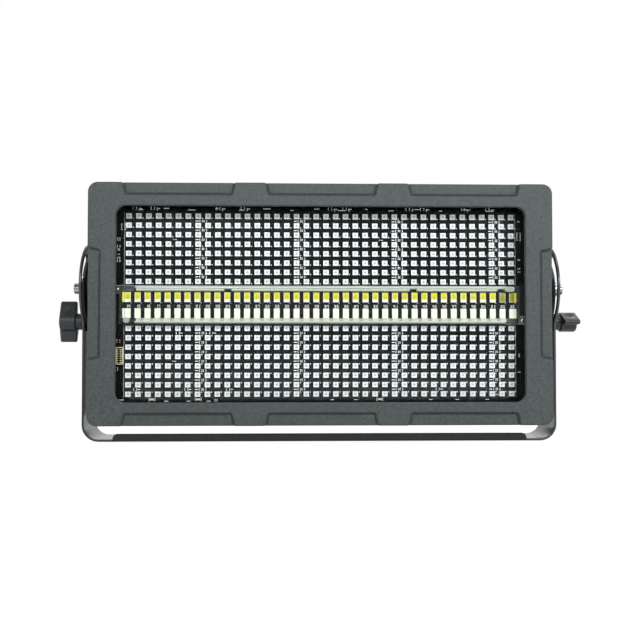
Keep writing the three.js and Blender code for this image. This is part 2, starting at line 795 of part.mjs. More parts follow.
// A panel socket: a flange outside the panel, and a round body through it with a plug's bore or pin holes
function socket(pinLength) {
  const flangeFront = panelBack + gap;
  const face = flangeFront + socketFlangeThickness;
  const [w, h] = [socketFlangeWidth / 2, socketFlangeHeight / 2];
  const bodyRows = [[flangeFront - socketBodyLength, socketBodyRadius], [flangeFront + sink, socketBodyRadius]];
  const body = block(-w, w, flangeFront, face, -h, h).add(turnedBack(bodyRows));
  const pinAngles = Array.from({ length: socketPins }, (_, i) => Math.PI / 2 + (i * 2 * Math.PI) / socketPins);
  const pinPlaces = pinAngles.map((a) => [pinCircle * Math.cos(a), pinCircle * Math.sin(a)]);
  if (pinLength === 0) {
    const holeRows = [[face - pinHoleDepth, pinRadius], [face + overrun, pinRadius]];
    const holes = pinPlaces.map(([px, pz]) => turnedBack(holeRows, px, pz, smallRoundSteps));
    return body.subtract(joined(holes));
  }
  const bottom = face - socketBoreLength;
  const bore = turnedBack([[bottom, socketBoreRadius], [face + overrun, socketBoreRadius]]);
  const pinRows = [[bottom - sink, pinRadius], [bottom + pinLength, pinRadius]];
  const pins = pinPlaces.map(([px, pz]) => turnedBack(pinRows, px, pz, smallRoundSteps));
  return body.subtract(bore).add(joined(pins));
}

function powerSupply() {
  const [w, h] = [supplyWidth / 2, supplyHeight / 2];
  const body = block(-w, w - supplyTerminalWidth, supplyFront, supplyBack, -h, h);
  const terminals = block(w - supplyTerminalWidth - sink, w, supplyFront, supplyBack - supplyTerminalStep, -h, h);
  return body.add(terminals);
}

function driverBoard() {
  const back = supplyFront + driverThickness;
  const board = block(-driverWidth / 2, driverWidth / 2, supplyFront, back, driverBottom, driverTop);
  const z = (driverBottom + driverTop) / 2;
  const half = driverPartSide / 2;
  const parts = Array.from({ length: driverParts }, (_, i) => {
    const x = (i - (driverParts - 1) / 2) * driverPartPitch;
    return block(x - half, x + half, back - sink, back + driverPartReach, z - half, z + half);
  });
  return joined([board, ...parts]);
}

function controlBoard() {
  const [front, back] = [controlDepth, controlDepth + controlThickness];
  const board = block(-controlWidth / 2, controlWidth / 2, front, back, controlBottom, controlTop);
  const pieces = [board];
  const postRows = [[back - sink, postRadius], [panelFront - gap, postRadius]];
  for (const x of [-controlWidth / 2 + postInset, controlWidth / 2 - postInset]) {
    for (const z of [controlBottom + postInset, controlTop - postInset]) {
      pieces.push(turnedBack(postRows, x, z, smallRoundSteps));
    }
  }
  const half = switchSide / 2;
  for (const [, x] of buttonPlaces()) {
    pieces.push(block(x - half, x + half, back - sink, switchFace, buttonAbove - half, buttonAbove + half));
  }
  const [w, h] = [displayWidth / 2 - displayFlange, displayHeight / 2 - displayFlange];
  pieces.push(block(-w, w, back - sink, back + displayModuleDepth, displayAbove - h, displayAbove + h));
  return joined(pieces);
}

const fanBack = housingBack - housingWall - gap;
const fanFront = fanBack - fanDepth;
const fanHubFloor = fanBack - fanStrutDepth;

function fanFrame() {
  const body = drawnBack(fanSide, fanSide, fanFrameCorner, [[fanFront, 0], [fanBack, 0]]);
  const boreRows = [[fanFront - overrun, fanBore], [fanBack + overrun, fanBore]];
  const pieces = [body.subtract(turnedBack(boreRows, 0, 0, largeRoundSteps))];
  pieces.push(turnedBack([[fanHubFloor, fanHubRadius], [fanBack, fanHubRadius]]));
  const axleRows = [[fanFront + fanStrutDepth, fanAxleRadius], [fanBack - sink, fanAxleRadius]];
  pieces.push(turnedBack(axleRows, 0, 0, smallRoundSteps));
  for (let i = 0; i < fanStruts; i++) {
    const half = fanStrutWidth / 2;
    const strut = boxGeometry(fanHubRadius - sink, fanBore + sink, fanHubFloor, fanBack, -half, half);
    pieces.push(solidFrom(strut.rotateY(Math.PI / 4 + (i * 2 * Math.PI) / fanStruts)));
  }
  return joined(pieces);
}

// A flat blade set at an angle to the axle, with its root in the hub and its corners just clear of the frame
function fanBlade(turn) {
  const [front, back] = [fanFront + fanStrutDepth, fanHubFloor - 2 * gap];
  const [along, aside] = [Math.cos(fanBladeAngle), Math.sin(fanBladeAngle)];
  const chord = (back - front - fanBladeThickness * aside) / along;
  const half = (chord * aside + fanBladeThickness * along) / 2;
  const root = Math.sqrt((fanHubRadius * Math.cos(Math.PI / roundSteps)) ** 2 - half ** 2) - sink;
  const tip = Math.sqrt(fanBladeTip ** 2 - half ** 2);
  const geometry = new THREE.BoxGeometry(tip - root, chord, fanBladeThickness);
  geometry.rotateX(fanBladeAngle).translate((root + tip) / 2, (front + back) / 2, 0);
  return solidFrom(geometry.rotateY(turn));
}

function fanRotor() {
  const [front, back] = [fanFront + fanStrutDepth, fanHubFloor - gap];
  const pieces = [turnedBack([[front - fanCapThickness, fanHubRadius], [back, fanHubRadius]])];
  for (let i = 0; i < fanBlades; i++) {
    pieces.push(fanBlade((i * 2 * Math.PI) / fanBlades));
  }
  const bore = fanAxleRadius + gap;
  const cutter = turnedBack([[front - gap, bore], [back + overrun, bore]], 0, 0, smallRoundSteps);
  return joined(pieces).subtract(cutter);
}

function sector(inner, outer, start, end) {
  const outside = arcPoints(0, 0, outer, start, end, guardSteps);
  return new THREE.Path([...outside, ...arcPoints(0, 0, inner, end, start, guardSteps)]);
}

// A flat guard: rings joined by spokes, stamped from sheet
function fanGuard() {
  const shape = discOutline(guardRadius, largeRoundSteps);
  const ringPitch = (guardRadius - guardHub) / guardRings;
  for (let ring = 0; ring < guardRings; ring++) {
    const inner = guardHub + ring * ringPitch;
    const outer = inner + ringPitch - guardBar;
    for (let i = 0; i < guardSpokes; i++) {
      const middle = Math.PI / 4 + (i * 2 * Math.PI) / guardSpokes;
      const half = Math.PI / guardSpokes;
      const [a, b] = [middle - half + guardBar / 2 / inner, middle + half - guardBar / 2 / inner];
      shape.holes.push(sector(inner, outer, a, b));
    }
  }
  const front = housingBack + gap;
  return frontPlate(shape, front, front + guardThickness);
}

// A rod bent to a U, with its legs' ends on the housing's back
function safetyLoop() {
  const half = loopSpan / 2;
  const start = panelFront;
  const bendY = start + loopStraight;
  const path = new THREE.CurvePath();
  const at = (x, y) => new THREE.Vector3(x, y, loopAbove);
  const corner = (x0, y0, xc, yc, x1, y1) => new THREE.QuadraticBezierCurve3(at(x0, y0), at(xc, yc), at(x1, y1));
  const out = bendY + loopBend;
  path.add(new THREE.LineCurve3(at(-half, start), at(-half, bendY)));
  path.add(corner(-half, bendY, -half, out, -half + loopBend, out));
  path.add(new THREE.LineCurve3(at(-half + loopBend, out), at(half - loopBend, out)));
  path.add(corner(half - loopBend, out, half, out, half, bendY));
  path.add(new THREE.LineCurve3(at(half, bendY), at(half, start)));
  const section = new THREE.Shape();
  section.absarc(0, 0, loopRod / 2, 0, 2 * Math.PI);
  const settings = { steps: 5 * loopTurns, extrudePath: path, bevelEnabled: false, curveSegments: loopSides };
  return solidFrom(new THREE.ExtrudeGeometry(section, settings));
}

// The curved slot in a yoke disc: an arc round the pivot with round ends, open at all but the top
function slotOutline(x, y) {
  const half = slotWidth / 2;
  const down = -Math.PI / 2;
  const [start, end] = [down - slotSweep, down + slotSweep];
  const roundEnd = (angle, from) => {
    const [cx, cy] = [x + slotRadius * Math.cos(angle), y + slotRadius * Math.sin(angle)];
    return arcPoints(cx, cy, half, from, from + Math.PI, slotEndSteps);
  };
  const pieces = [
    arcPoints(x, y, slotRadius + half, start, end, slotSteps),
    roundEnd(end, end),
    arcPoints(x, y, slotRadius - half, end, start, slotSteps),
    roundEnd(start, start + Math.PI),
  ];
  return new THREE.Shape(pieces.flatMap((points) => points.slice(1)));
}


function yokeBracket() {
  const [front, back] = [pivotDepth - yokeDepth / 2, pivotDepth + yokeDepth / 2];
  const strip = new THREE.Shape();
  const [w, t] = [yokeHalfWidth, yokeThickness];
  const inside = yokeBend - t;
  strip.moveTo(-w, pivotHeight);
  strip.absarc(-w + yokeBend, yokeBend, yokeBend, Math.PI, 1.5 * Math.PI);
  strip.absarc(w - yokeBend, yokeBend, yokeBend, 1.5 * Math.PI, 2 * Math.PI);
  strip.lineTo(w, pivotHeight);
  strip.lineTo(w - t, pivotHeight);
  strip.absarc(w - yokeBend, yokeBend, inside, 2 * Math.PI, 1.5 * Math.PI, true);
  strip.absarc(-w + yokeBend, yokeBend, inside, 1.5 * Math.PI, Math.PI, true);
  strip.lineTo(-w + t, pivotHeight);
  const lip = new THREE.Shape();
  const half = lipLength / 2;
  lip.moveTo(-half, 0);
  lip.lineTo(half, 0);
  lip.absarc(half - lipCorner, lipHeight - lipCorner, lipCorner, 0, Math.PI / 2);
  lip.absarc(-half + lipCorner, lipHeight - lipCorner, lipCorner, Math.PI / 2, Math.PI);
  let body = frontPlate(strip, front, back, cornerSteps + 2);
  body = body.add(frontPlate(lip, front, front + t));
  const pivot = [pivotDepth, pivotHeight];
  const holes = [upright(clampHoleRadius, -overrun, t + overrun, 0, pivotDepth)];
  for (const side of [1, -1]) {
    const [inner, outer] = [w - t - overrun, w + overrun];
    body = body.add(sidePlate(discOutline(discRadius, discSteps, ...pivot), w - t, w, side));
    holes.push(sidePlate(discOutline(bushSleeveRadius + gap, roundSteps, ...pivot), inner, outer, side));
    holes.push(sidePlate(slotOutline(...pivot), inner, outer, side));
  }
  return body.subtract(joined(holes));
}

// Round plates at a pivot, with a lug below for the lock's stud: heights are counted from the pivot
function luggedPlate(inner, outer, side) {
  const round = sidePlate(discOutline(bossRadius, largeRoundSteps), inner, outer, side);
  const lug = sidePlate(discOutline(lugRadius, roundSteps, 0, -slotRadius), inner, outer, side);
  return round.add(lug);
}

function across(radius, inner, outer, side, z = 0, steps = roundSteps) {
  return turnedOut([[inner, radius], [outer, radius]], side, z, steps);
}

function pivotHoles(inner, outer, side) {
  const bolt = across(boltRadius + gap, inner, outer, side, 0, smallRoundSteps);
  return bolt.add(across(studRadius + gap, inner, outer, side, -slotRadius));
}

function sideBoss(side) {
  return luggedPlate(bossInner, bossOuter, side).subtract(pivotHoles(holeEnd, bossOuter + overrun, side));
}

function frictionPad(side) {
  const holes = pivotHoles(padInner - overrun, padOuter + overrun, side);
  return luggedPlate(padInner, padOuter, side).subtract(holes);
}

function pivotBush(side) {
  const rows = [
    [padOuter + gap, bushSleeveRadius],
    [bushFace, bushSleeveRadius],
    [bushFace, bushFlangeRadius],
    [bushFace + bushFlangeThickness, bushFlangeRadius],
  ];
  const hole = across(boltRadius + gap, padOuter, springInner, side, 0, smallRoundSteps);
  return turnedOut(rows, side).subtract(hole);
}

// Dished spring washers stacked on one another
function springStack(side) {
  const rows = [];
  for (let i = 0; i < springDiscs; i++) {
    const inner = springInner + i * springPitch;
    rows.push([inner, springRadius - springDiscDish]);
    rows.push([inner + springPitch / 2, springRadius]);
  }
  rows.push([springOuter, springRadius - springDiscDish]);
  const hole = across(boltRadius + gap, springInner - overrun, springOuter + overrun, side, 0, smallRoundSteps);
  return turnedOut(rows, side).subtract(hole);
}

function pivotBolt(side) {
  const rows = [
    [holeEnd + gap, boltRadius],
    [boltHeadInner, boltRadius],
    [boltHeadInner, boltHeadRadius],
    [boltHeadInner + boltHeadHeight, boltHeadRadius],
  ];
  const head = boltHeadInner + boltHeadHeight;
  const hex = across(boltSocketRadius, head - boltSocketDepth, head + overrun, side, 0, hexSides);
  return turnedOut(rows, side).subtract(hex);
}

function lockWasher(side) {
  const [inner, outer] = [washerInner, washerInner + lockWasherThickness];
  const hole = across(studRadius + gap, inner - overrun, outer + overrun, side);
  return across(lockWasherRadius, inner, outer, side).subtract(hole);
}

function lockStud(side) {
  return across(studRadius, holeEnd + gap, knobInner + studInKnob, side);
}

// The knob's outline along its two wings: a round hub that narrows to a rounded tip each way
function wingOutline() {
  const hubAngle = Math.PI / 3;
  const [hx, hy] = [knobHubRadius * Math.cos(hubAngle), knobHubRadius * Math.sin(hubAngle)];
  const tip = knobHalfSpan - knobTipHalf;
  const [bx, by] = [(hx + tip) / 2, (hy + 2 * knobTipHalf) / 3];
  const shape = new THREE.Shape();
  shape.moveTo(tip, -knobTipHalf);
  shape.absarc(tip, 0, knobTipHalf, -Math.PI / 2, Math.PI / 2);
  shape.quadraticCurveTo(bx, by, hx, hy);
  shape.absarc(0, 0, knobHubRadius, hubAngle, Math.PI - hubAngle);
  shape.quadraticCurveTo(-bx, by, -tip, knobTipHalf);
  shape.absarc(-tip, 0, knobTipHalf, Math.PI / 2, 1.5 * Math.PI);
  shape.quadraticCurveTo(-bx, -by, -hx, -hy);
  shape.absarc(0, 0, knobHubRadius, Math.PI + hubAngle, 2 * Math.PI - hubAngle);
  shape.quadraticCurveTo(bx, -by, tip, -knobTipHalf);
  return shape;
}

function lockKnob(side) {
  const wings = sidePlate(wingOutline(), wingInner, knobOuter - knobDome, side, wingSteps);
  const neck = across(knobNeckRadius, knobInner, wingInner + sink, side);
  const dome = turnedOut(
    [
      [wingInner + sink, knobHubRadius - knobDome],
      [knobOuter - knobDome, knobHubRadius - knobDome],
      [knobOuter, knobHubRadius - 2 * knobDome],
    ],
    side,
  );
  const bore = across(studRadius + gap, knobInner - overrun, knobInner + studInKnob + gap, side);
  return joined([wings, neck, dome]).subtract(bore);
}

// The light: the yoke, and the head that turns in it
const light = new THREE.Group();
const yoke = new THREE.Group();
const head = new THREE.Group();
light.add(yoke, head);
yoke.position.y = -overallDepth / 2;
head.position.set(0, -overallDepth / 2, headCentreHeight);

place(yoke, 'yoke_bracket', yokeBracket(), blackPowder);

const pivots = new THREE.Group();
pivots.position.set(0, pivotDepth, pivotAboveCentre);
const locks = new THREE.Group();
locks.position.set(0, pivotDepth, lockAboveCentre);
head.add(pivots, locks);
for (const [side, word] of [[-1, 'left'], [1, 'right']]) {
  place(pivots, `side_boss_${word}`, sideBoss(side), greyPlastic);
  place(pivots, `friction_pad_${word}`, frictionPad(side), fibre);
  place(pivots, `pivot_bush_${word}`, pivotBush(side), darkSteel);
  place(pivots, `pivot_spring_${word}`, springStack(side), steel);
  place(pivots, `pivot_bolt_${word}`, pivotBolt(side), darkSteel);
  place(locks, `lock_washer_${word}`, lockWasher(side), darkSteel);
  place(locks, `lock_stud_${word}`, lockStud(side), steel);
  const knob = place(locks, `lock_knob_${word}`, lockKnob(side), blackPlastic);
  knob.rotation.x = side > 0 ? 0 : Math.PI / 2;
}

const gasketBack = gasketFront + gasketThickness;
place(head, 'front_bezel', bezel(), greyPlastic);
const gasket = frame(glassWidth, glassHeight, glassCorner, gasketBorder, gasketFront, gasketBack);
place(head, 'glass_gasket', gasket, rubber);
const paneRows = [[glassFront, 0], [glassFront + glassThickness, 0]];
place(head, 'front_glass', drawnBack(glassWidth, glassHeight, glassCorner, paneRows), clear);
const spacer = frame(glassWidth, glassHeight, glassCorner, spacerBorder, spacerFront, boardFront - gap);
place(head, 'spacer_frame', spacer, blackPlastic);

place(head, 'upper_led_board', colourBoard(1), ledBoard);
place(head, 'lower_led_board', colourBoard(-1), ledBoard);
place(head, 'strobe_carrier', strobeCarrier(), aluminium);
place(head, 'strobe_led_board', strobeLedBoard(), strobeBoard);
place(head, 'upper_light_rail', lightRail(1), paleRail);
place(head, 'lower_light_rail', lightRail(-1), paleRail);
place(head, 'strobe_cover', strobeCover(), clear);
for (const [side, word] of [[-1, 'left'], [1, 'right']]) {
  place(head, `cover_end_${word}`, endCap(side), clear);
  place(head, `ear_screw_${word}`, earScrew(side), steel);
}

place(head, 'heat_sink', heatSink(), aluminium);
place(head, 'power_supply', powerSupply(), steelCase);
place(head, 'driver_board', driverBoard(), greenBoard);
place(head, 'control_board', controlBoard(), greenBoard);
place(head, 'rear_housing', rearHousing(), greyPlastic);
place(head, 'control_panel', controlPanel(), blackPowder);
place(head, 'display_window', displayWindow(), smoked);
for (const [name, x] of buttonPlaces()) place(head, name, button(), rubber, x, buttonAbove);
panelScrewPlaces.forEach(([x, z], i) => place(head, `panel_screw_${i + 1}`, panelScrew(), steel, x, z));

const pinLengths = [powerPinLength, powerPinLength, signalPinLength, 0];
socketPlaces().forEach(([name, x], i) => place(head, name, socket(pinLengths[i]), blackPlastic, x, -socketBelow));

for (const [side, word] of [[-1, 'left'], [1, 'right']]) {
  place(head, `fan_frame_${word}`, fanFrame(), blackPlastic, side * fanOffset);
  place(head, `fan_rotor_${word}`, fanRotor(), blackPlastic, side * fanOffset);
  place(head, `fan_guard_${word}`, fanGuard(), steel, side * fanOffset);
}
place(head, 'safety_loop', safetyLoop(), steel);

export default light;
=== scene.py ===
# %% [markdown]
# # A stage strobe light, dressed
# The engineer's model arrives as a fixed frame: every part is already at its real size and place.
# We could restyle those parts one by one by hand, but then nothing would stay in step with the joints.
# Instead each visible surface is worked out as an array of points, put where the frame says, and told
# which moving body it rides on.

# %% Load the frame
import math
import bpy
import numpy as np
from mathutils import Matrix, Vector
from mathutils.geometry import delaunay_2d_cdt


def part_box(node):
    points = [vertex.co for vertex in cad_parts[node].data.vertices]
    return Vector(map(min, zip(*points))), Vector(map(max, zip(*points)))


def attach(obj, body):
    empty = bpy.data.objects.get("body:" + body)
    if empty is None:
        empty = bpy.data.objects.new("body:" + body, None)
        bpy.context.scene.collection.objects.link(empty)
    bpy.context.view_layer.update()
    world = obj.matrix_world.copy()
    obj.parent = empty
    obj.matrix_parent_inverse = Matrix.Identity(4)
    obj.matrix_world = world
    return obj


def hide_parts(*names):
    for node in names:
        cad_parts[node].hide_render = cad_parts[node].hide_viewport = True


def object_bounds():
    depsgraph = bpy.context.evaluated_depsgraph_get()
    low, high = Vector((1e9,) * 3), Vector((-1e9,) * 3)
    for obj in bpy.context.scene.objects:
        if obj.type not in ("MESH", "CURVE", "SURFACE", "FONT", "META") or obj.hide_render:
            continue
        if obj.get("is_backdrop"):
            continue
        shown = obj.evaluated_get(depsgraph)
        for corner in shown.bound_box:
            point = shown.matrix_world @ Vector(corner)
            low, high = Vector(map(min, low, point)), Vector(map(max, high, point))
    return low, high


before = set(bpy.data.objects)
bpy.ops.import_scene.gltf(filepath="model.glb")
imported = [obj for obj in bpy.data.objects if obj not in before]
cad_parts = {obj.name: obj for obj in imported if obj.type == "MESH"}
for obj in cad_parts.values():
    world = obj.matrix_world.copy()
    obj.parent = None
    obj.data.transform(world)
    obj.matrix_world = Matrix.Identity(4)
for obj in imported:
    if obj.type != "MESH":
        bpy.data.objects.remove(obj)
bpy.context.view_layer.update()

# %% [markdown]
# Sizes are easier to read in millimetres, measured from the middle of the lamp head: x to the right,
# y back from the front of the bezel, z up. Blender wants metres from the floor, so one function turns
# the first into the second, and the head's own middle comes from the frame's bezel.

# %% Where the head is
HEAD = np.zeros(3)


def span(node):
    """A frame part's box in head millimetres: low corner, high corner, middle and size."""
    low, high = (1000 * np.array(corner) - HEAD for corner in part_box(node))
    return low, high, (low + high) / 2, high - low


low, high, middle, (BEZEL_W, _, BEZEL_H) = span("front_bezel")
HEAD = np.array([0, low[1], middle[2]])
PIVOT = span("pivot_bolt_left")[2] * [0, 1, 1]
print("head middle:", HEAD.round(2), "bezel:", round(BEZEL_W, 2), "x", round(BEZEL_H, 2), "pivot:", PIVOT)

# %% [markdown]
# ## Shapes as arrays
# A form here is four arrays: the points, the corners of all faces in one long row, how many corners
# each face has, and which finish each face takes. Whole forms can then be joined or copied hundreds of
# times with array sums alone. A bmesh could do the same with loops, but it is slower and longer.

# %% Rows of points become a skin
def skin(rows, ring=False, ends=True, finish=0):
    """Rows (r, n, 3) of closed loops become quads between neighbours. ring joins the last row to the
    first, and ends closes both with one face each. finish is one number, or one for each band."""
    rows = np.asarray(rows, float)
    r, n = rows.shape[:2]
    down, across = np.arange(r if ring else r - 1)[:, None], np.arange(n)
    corner = [(down + i) % r * n + (across + j) % n for i, j in ((0, 0), (0, 1), (1, 1), (1, 0))]
    loops, sizes = np.stack(corner, 2).ravel(), np.full(down.size * n, 4)
    finishes = np.repeat(np.broadcast_to(finish, down.size), n)
    if ends and not ring:
        loops = np.concatenate([loops, np.arange(n)[::-1], (r - 1) * n + np.arange(n)])
        sizes, finishes = np.append(sizes, [n, n]), np.append(finishes, finishes[[0, -1]])
    return rows.reshape(-1, 3), loops, sizes, finishes


def gather(*forms):
    """Several forms as one: each form's corner numbers move up by the points that come before it."""
    starts = np.cumsum([0] + [len(form[0]) for form in forms])
    forms = [(form[0], form[1] + start, *form[2:]) for form, start in zip(forms, starts)]
    return tuple(np.concatenate(column) for column in zip(*forms))


def moved(form, x=0, y=0, z=0):
    return (form[0] + np.array([x, y, z]), *form[1:])


def turned_form(form, axes):
    """The form with its three coordinates taken in another order or sign: axes is a 3 x 3 matrix."""
    return (form[0] @ np.transpose(axes), *form[1:])


def painted(form, finish):
    return (*form[:3], np.full_like(form[3], finish))


def outward(form):
    """Faces point out when the sum of (corner . corner x corner) over all face fans is positive."""
    points, loops, sizes, finishes = form
    starts = np.cumsum(sizes) - sizes
    face = np.repeat(np.arange(len(sizes)), sizes)
    order = np.arange(len(loops)) - starts[face]
    spot = np.flatnonzero((order > 0) & (order < sizes[face] - 1))
    p, q, s = points[loops[starts[face[spot]]]], points[loops[spot]], points[loops[spot + 1]]
    if np.einsum("ij,ij->", p, np.cross(q, s)) >= 0:
        return form
    return points, loops[starts[face] + sizes[face] - 1 - order], sizes, finishes


def joined(*forms):
    """Several forms as one, each with its own faces turned out first."""
    return gather(*[outward(form) for form in forms])


cube_rows = np.array([[[0, 0, k], [1, 0, k], [1, 1, k], [0, 1, k]] for k in (0, 1)])
print("a skin of", len(skin(cube_rows)[2]), "faces closes a box")

# %% [markdown]
# Most pieces are rounded rectangles, turned profiles or flat plates with holes. A turned profile is a
# list of (place along the axis, radius) pairs. A plate's flat faces are filled by a triangulation that
# respects the holes, and each outline steps in a little at the faces, so that every edge is broken by
# a small round and catches the light as a real one does.

# %% Outlines and turned pieces
SIGNS = [(1, 1), (-1, 1), (-1, -1), (1, -1)]


def polar(r, angle, x=0.0, z=0.0):
    return np.stack([x + r * np.cos(angle), z + r * np.sin(angle)], 1)


def pairs(a, b):
    return np.stack(np.broadcast_arrays(a, b), 1)


def circle(r, steps=48, x=0.0, z=0.0):
    return polar(r, np.linspace(0, 2 * np.pi, steps, endpoint=False), x, z)


def round_rect(w, h, r, steps=8):
    """Corner k is an arc of radius r about (+-(w/2 - r), +-(h/2 - r)), a quarter turn each."""
    arc, quarter = polar(r, np.linspace(0, np.pi / 2, steps + 1)), np.array([[0, -1], [1, 0]])
    return np.concatenate([arc @ np.linalg.matrix_power(quarter, k).T + [sx * (w / 2 - r), sz * (h / 2 - r)]
                           for k, (sx, sz) in enumerate(SIGNS)])


def lathe(profile, steps=48):
    """Row i is a circle of radius r_i at depth y_i about the Y axis."""
    profile = np.maximum(np.asarray(profile, float), [-1e9, 1e-3])
    return skin([np.insert(circle(r, steps), 1, y, 1) for y, r in profile])


def inset(loop, by):
    """Each point moves in along the mean of its two edges' normals, further where the corner is sharper."""
    before, after = loop - np.roll(loop, 1, 0), np.roll(loop, -1, 0) - loop
    before /= np.linalg.norm(before, axis=1)[:, None]
    after /= np.linalg.norm(after, axis=1)[:, None]
    normal = (before + after)[:, ::-1] * [-1, 1]
    normal /= np.linalg.norm(normal, axis=1)[:, None]
    lean = np.maximum((normal * before[:, ::-1] * [-1, 1]).sum(1), 0.5)
    return loop + by * normal / lean[:, None]


def area(loop):
    return 0.5 * np.sum(loop[:, 0] * np.roll(loop[:, 1], -1) - np.roll(loop[:, 0], -1) * loop[:, 1])


print("a circle of radius 1 in 48 points has an area of", round(area(circle(1)), 3))

# %% Flat faces and plates
def fill(loops, extra=()):
    """Triangles between one outer loop and the holes in it; extra points take part in the flat face.
    A triangle stays when a ray from its middle cuts the outer loop an odd and each hole an even time."""
    points = np.concatenate(list(loops) + [np.asarray(e, float) for e in extra])
    starts = np.cumsum([0] + [len(loop) for loop in loops])
    edges = [(int(start + i), int(start + (i + 1) % len(loop)))
             for loop, start in zip(loops, starts) for i in range(len(loop))]
    found = delaunay_2d_cdt([Vector(p) for p in points], edges, [], 1, 1e-7)
    faces = np.array([o[0] if o else -1 for o in found[3]])[np.array(found[2])]
    middle = points[faces].mean(1)
    keep = np.ones(len(faces), bool)
    for k, a in enumerate(loops):
        b = np.roll(a, -1, 0)
        spans = (a[:, 1] > middle[:, 1:]) != (b[:, 1] > middle[:, 1:])
        rise = np.where(b[:, 1] == a[:, 1], 1e-12, b[:, 1] - a[:, 1])
        cuts = a[:, 0] + (middle[:, 1:] - a[:, 1]) * (b[:, 0] - a[:, 0]) / rise
        keep &= ((spans & (middle[:, :1] < cuts)).sum(1) % 2 == 1) == (k == 0)
    return points, faces[keep]


def plate(outline, holes=(), front=0.0, back=1.0, edge=0.3, steps=2, extra=()):
    """A flat plate in x and z from depth front to back, its edges rounded by quarter circles."""
    loops = [outline if area(outline) > 0 else outline[::-1]]
    loops += [hole if area(hole) < 0 else hole[::-1] for hole in holes]
    turn = np.linspace(0, np.pi / 2, steps + 1)
    into, rise = edge * (1 - np.sin(turn)), edge * (1 - np.cos(turn))
    rims = np.concatenate([pairs(into, front + rise), pairs(rise, back - into)])
    walls = [np.stack([np.insert(inset(loop, step), 1, depth, 1) for step, depth in rims]) for loop in loops]
    flat, faces = fill([inset(loop, edge) for loop in loops], extra)
    count, rim, quads = len(flat), 0, []
    start = 2 * count
    for wall in walls:
        r, n = wall.shape[:2]
        index = np.concatenate([[rim + np.arange(n)], start + np.arange((r - 2) * n).reshape(r - 2, n),
                                [count + rim + np.arange(n)]])
        rolled = np.roll(index, -1, 1)
        quads.append(np.stack([index[:-1], rolled[:-1], rolled[1:], index[1:]], 2).ravel())
        start, rim = start + (r - 2) * n, rim + n
    points = [np.insert(flat, 1, front, 1), np.insert(flat, 1, back, 1)]
    points += [wall[1:-1].reshape(-1, 3) for wall in walls]
    quads = np.concatenate(quads)
    sizes = np.repeat([3, 4], [2 * len(faces), len(quads) // 4])
    loops = np.concatenate([faces[:, ::-1].ravel(), (faces + count).ravel(), quads])
    return np.concatenate(points), loops, sizes, 0 * sizes


def box_plate(size, corner, steps, low, high, edge, edge_steps=2, holes=()):
    """A plate with rounded corners, as wide and high as size says."""
    return plate(round_rect(size[0], size[2], corner, steps), holes, low[1], high[1], edge, edge_steps)


print("a washer as a plate:", len(plate(circle(8), [circle(4)], 0, 1.5)[2]), "faces")

# %% Pieces from forms
def piece(name, form, finishes, node="", body="head", sharp=32):
    """Puts a form into the scene in metres, sets it on the body it rides on and hides the frame part it
    stands for.
    """
    points, loops, sizes, choice = outward(form)
    mesh = bpy.data.meshes.new(name)
    mesh.vertices.add(len(points))
    mesh.vertices.foreach_set("co", ((points + HEAD) / 1000).ravel())
    mesh.loops.add(len(loops))
    mesh.loops.foreach_set("vertex_index", loops)
    mesh.polygons.add(len(sizes))
    mesh.polygons.foreach_set("loop_start", np.cumsum(sizes) - sizes)
    mesh.polygons.foreach_set("material_index", choice)
    mesh.update(calc_edges=True)
    if mesh.validate():
        print("  mended:", name)
    mesh.shade_smooth()
    mesh.set_sharp_from_angle(angle=math.radians(sharp))
    for finish in finishes.split():
        mesh.materials.append(bpy.data.materials[finish])
    obj = bpy.data.objects.new(name, mesh)
    obj.modifiers.new("weighted_normals", "WEIGHTED_NORMAL").keep_sharp = True
    bpy.context.scene.collection.objects.link(obj)
    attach(obj, body)
    if node:
        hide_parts(node)
    print(f"  {name}: {len(sizes)} faces, rides on {body}")


print("meshes before anything is dressed:", len(bpy.data.meshes))

# %% [markdown]
# ## Shader maths as plain sums
# A material is a tree of nodes, and wiring it by hand hides what it computes. The small class below
# wraps one socket, so that `grain * 0.2 + 0.9` adds the Math nodes by itself, and one method makes every
# other node from its type, its settings and its inputs. It is shorter than wiring and reads as a formula.

# %% Sockets with arithmetic
class Line:
    """One output of a node, which can be used in sums."""

    def __init__(self, paint, socket):
        self.paint, self.socket = paint, socket

    def apply(self, operation, other=0.0, swapped=False):
        first, second = (other, self) if swapped else (self, other)
        return self.paint.node("ShaderNodeMath", {"operation": operation}, {0: first, 1: second, 2: 0.0})

    __add__ = __radd__ = lambda self, other: self.apply("ADD", other)
    __mul__ = __rmul__ = lambda self, other: self.apply("MULTIPLY", other)
    __sub__ = lambda self, other: self.apply("SUBTRACT", other)
    __rsub__ = lambda self, other: self.apply("SUBTRACT", other, True)
    __truediv__ = lambda self, other: self.apply("DIVIDE", other)
    __gt__ = lambda self, other: self.apply("GREATER_THAN", other)

    def between(self, low, high, out_low=0.0, out_high=1.0):
        """Smoothly out_low at low and out_high at high."""
        places = {"Value": self, "From Min": low, "From Max": high, "To Min": out_low, "To Max": out_high}
        return self.paint.node("ShaderNodeMapRange", {"interpolation_type": "SMOOTHSTEP"}, places)


